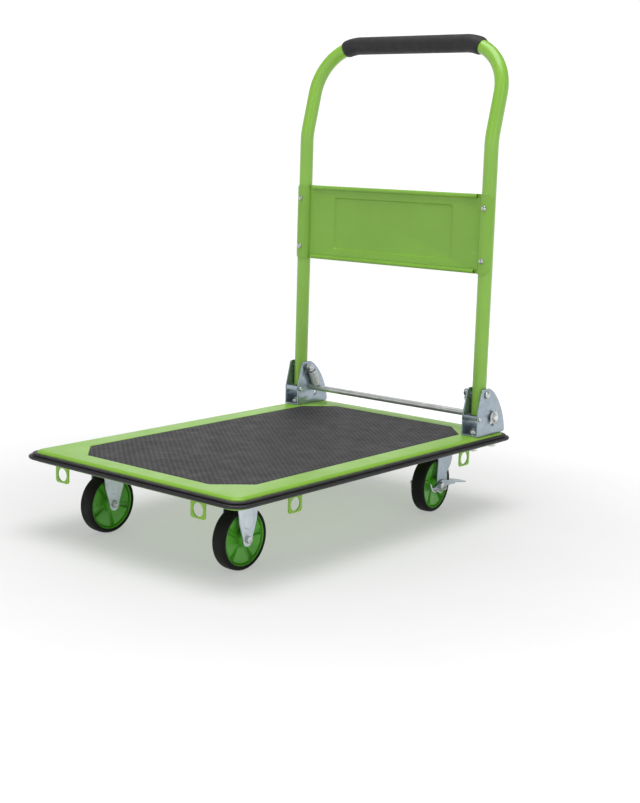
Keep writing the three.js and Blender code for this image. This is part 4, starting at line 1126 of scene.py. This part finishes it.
# CAD nodes whose shape is right keep it, with softened edges and a proper finish
for side_name, side in SIDES:
    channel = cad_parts[f"mount_channel_{side_name}"]
    channel.data.materials.clear()
    channel.data.materials.append(GREEN)
    soften = channel.modifiers.new("edges", "BEVEL")
    soften.width = 0.5 * MM
    soften.segments = 2
    soften.limit_method = "ANGLE"

# ---------------------------------------------------------------- stage, light and camera


def backdrop():
    """A pale floor that curves up into a low round wall. Both glow; the floor glows least under the cart,
    which paints a pool of shadow there.
    """
    floor = Nodes("studio_floor")
    shade = floor.between(floor.noise(3.0, 3.0), 0.3, 0.7)
    tone = floor.mix(shade, (0.40, 0.40, 0.40, 1), (0.42, 0.42, 0.42, 1))
    flat = floor.node("ShaderNodeVectorMath", {0: floor.place, 1: (1, 1, 0)}, operation="MULTIPLY")
    away = floor.node("ShaderNodeVectorMath", {0: flat.outputs[0]}, operation="LENGTH").outputs["Value"]
    height = floor.node("ShaderNodeSeparateXYZ", {0: floor.place}).outputs[2]
    # The glow is weakest near the cart and rises outwards: a painted shadow under and around the cart.
    glow_with_painted_shadow = floor.between(away, 0.3, 1.4, 0.38, 0.84)
    fade = floor.between(height, 1.6, 3.4, 1.0, 0.25)
    floor.link(floor.math("MULTIPLY", glow_with_painted_shadow, fade), floor.shader.inputs["Emission Strength"])
    floor.shader.inputs["Emission Color"].default_value = (1, 1, 1, 1)
    grain = floor.bump(floor.noise(300.0, 2.0), 0.03, 0.0004)
    material = floor.finish(tone, 0.8, grain, Specular_IOR_Level=0.0)
    profile = [(0.0, 0.0), (2.0, 0.0), (5.0, 0.0), (7.0, 0.0)]
    for i in range(1, 13):
        turn = i * HALF_PI / 12
        profile.append((7.0 + 2.0 * math.sin(turn), 2.0 - 2.0 * math.cos(turn)))
    profile.append((9.0, 3.5))
    points, faces = lathe(profile, 96, around=False)
    mesh = bpy.data.meshes.new("studio_sweep")
    mesh.from_pydata(points, [], [face for face in faces if len(face) == 4])
    for polygon in mesh.polygons:
        polygon.use_smooth = True
    mesh.materials.append(material)
    made = bpy.data.objects.new("studio_sweep", mesh)
    bpy.context.scene.collection.objects.link(made)


def soft_box(name, place, target, size, power):
    light = bpy.data.lights.new(name, "AREA")
    light.shape = "RECTANGLE"
    light.size, light.size_y = size
    light.energy = power
    made = bpy.data.objects.new(name, light)
    made.location = place
    made.rotation_euler = (Vector(target) - Vector(place)).to_track_quat("-Z", "Y").to_euler()
    bpy.context.scene.collection.objects.link(made)


def add_camera():
    azimuth, elevation, roll = (math.radians(v) for v in (129.19, 10.36, 1.71))
    level = math.cos(elevation)
    back = Vector((math.sin(azimuth) * level, -math.cos(azimuth) * level, math.sin(elevation)))
    right = Vector((0, 0, 1)).cross(back).normalized()
    up = back.cross(right)
    tilted_right = right * math.cos(roll) + up * math.sin(roll)
    tilted_up = up * math.cos(roll) - right * math.sin(roll)
    eye = tilted_right * 0.06948 + tilted_up * 0.20332 + back * 2.4304
    camera = bpy.data.cameras.new("camera")
    camera.lens = 62.82
    camera.sensor_width = 36.0
    camera.clip_end = 100.0
    made = bpy.data.objects.new("camera", camera)
    made.matrix_world = Matrix.Translation(eye) @ axes(tilted_right, tilted_up, back)
    bpy.context.scene.collection.objects.link(made)
    bpy.context.scene.camera = made


backdrop()
soft_box("top_soft_box", (0.3, 0.2, 3.2), (0, 0, 0.2), (2.4, 2.4), 84)
soft_box("left_soft_box", (0.9, 3.3, 1.7), (0, 0, 0.35), (1.0, 2.2), 14)
soft_box("front_soft_box", (3.5, 0.2, 1.6), (0, 0, 0.4), (1.2, 2.0), 12)
soft_box("rear_soft_box", (-2.4, -2.4, 2.2), (0, 0, 0.3), (1.6, 2.0), 12)

world = bpy.data.worlds.new("studio_world")
world.use_nodes = True
background = world.node_tree.nodes["Background"]
background.inputs["Color"].default_value = (1, 1, 1, 1)
background.inputs["Strength"].default_value = 0.22
bpy.context.scene.world = world
bpy.context.scene.view_settings.view_transform = "Standard"
add_camera()
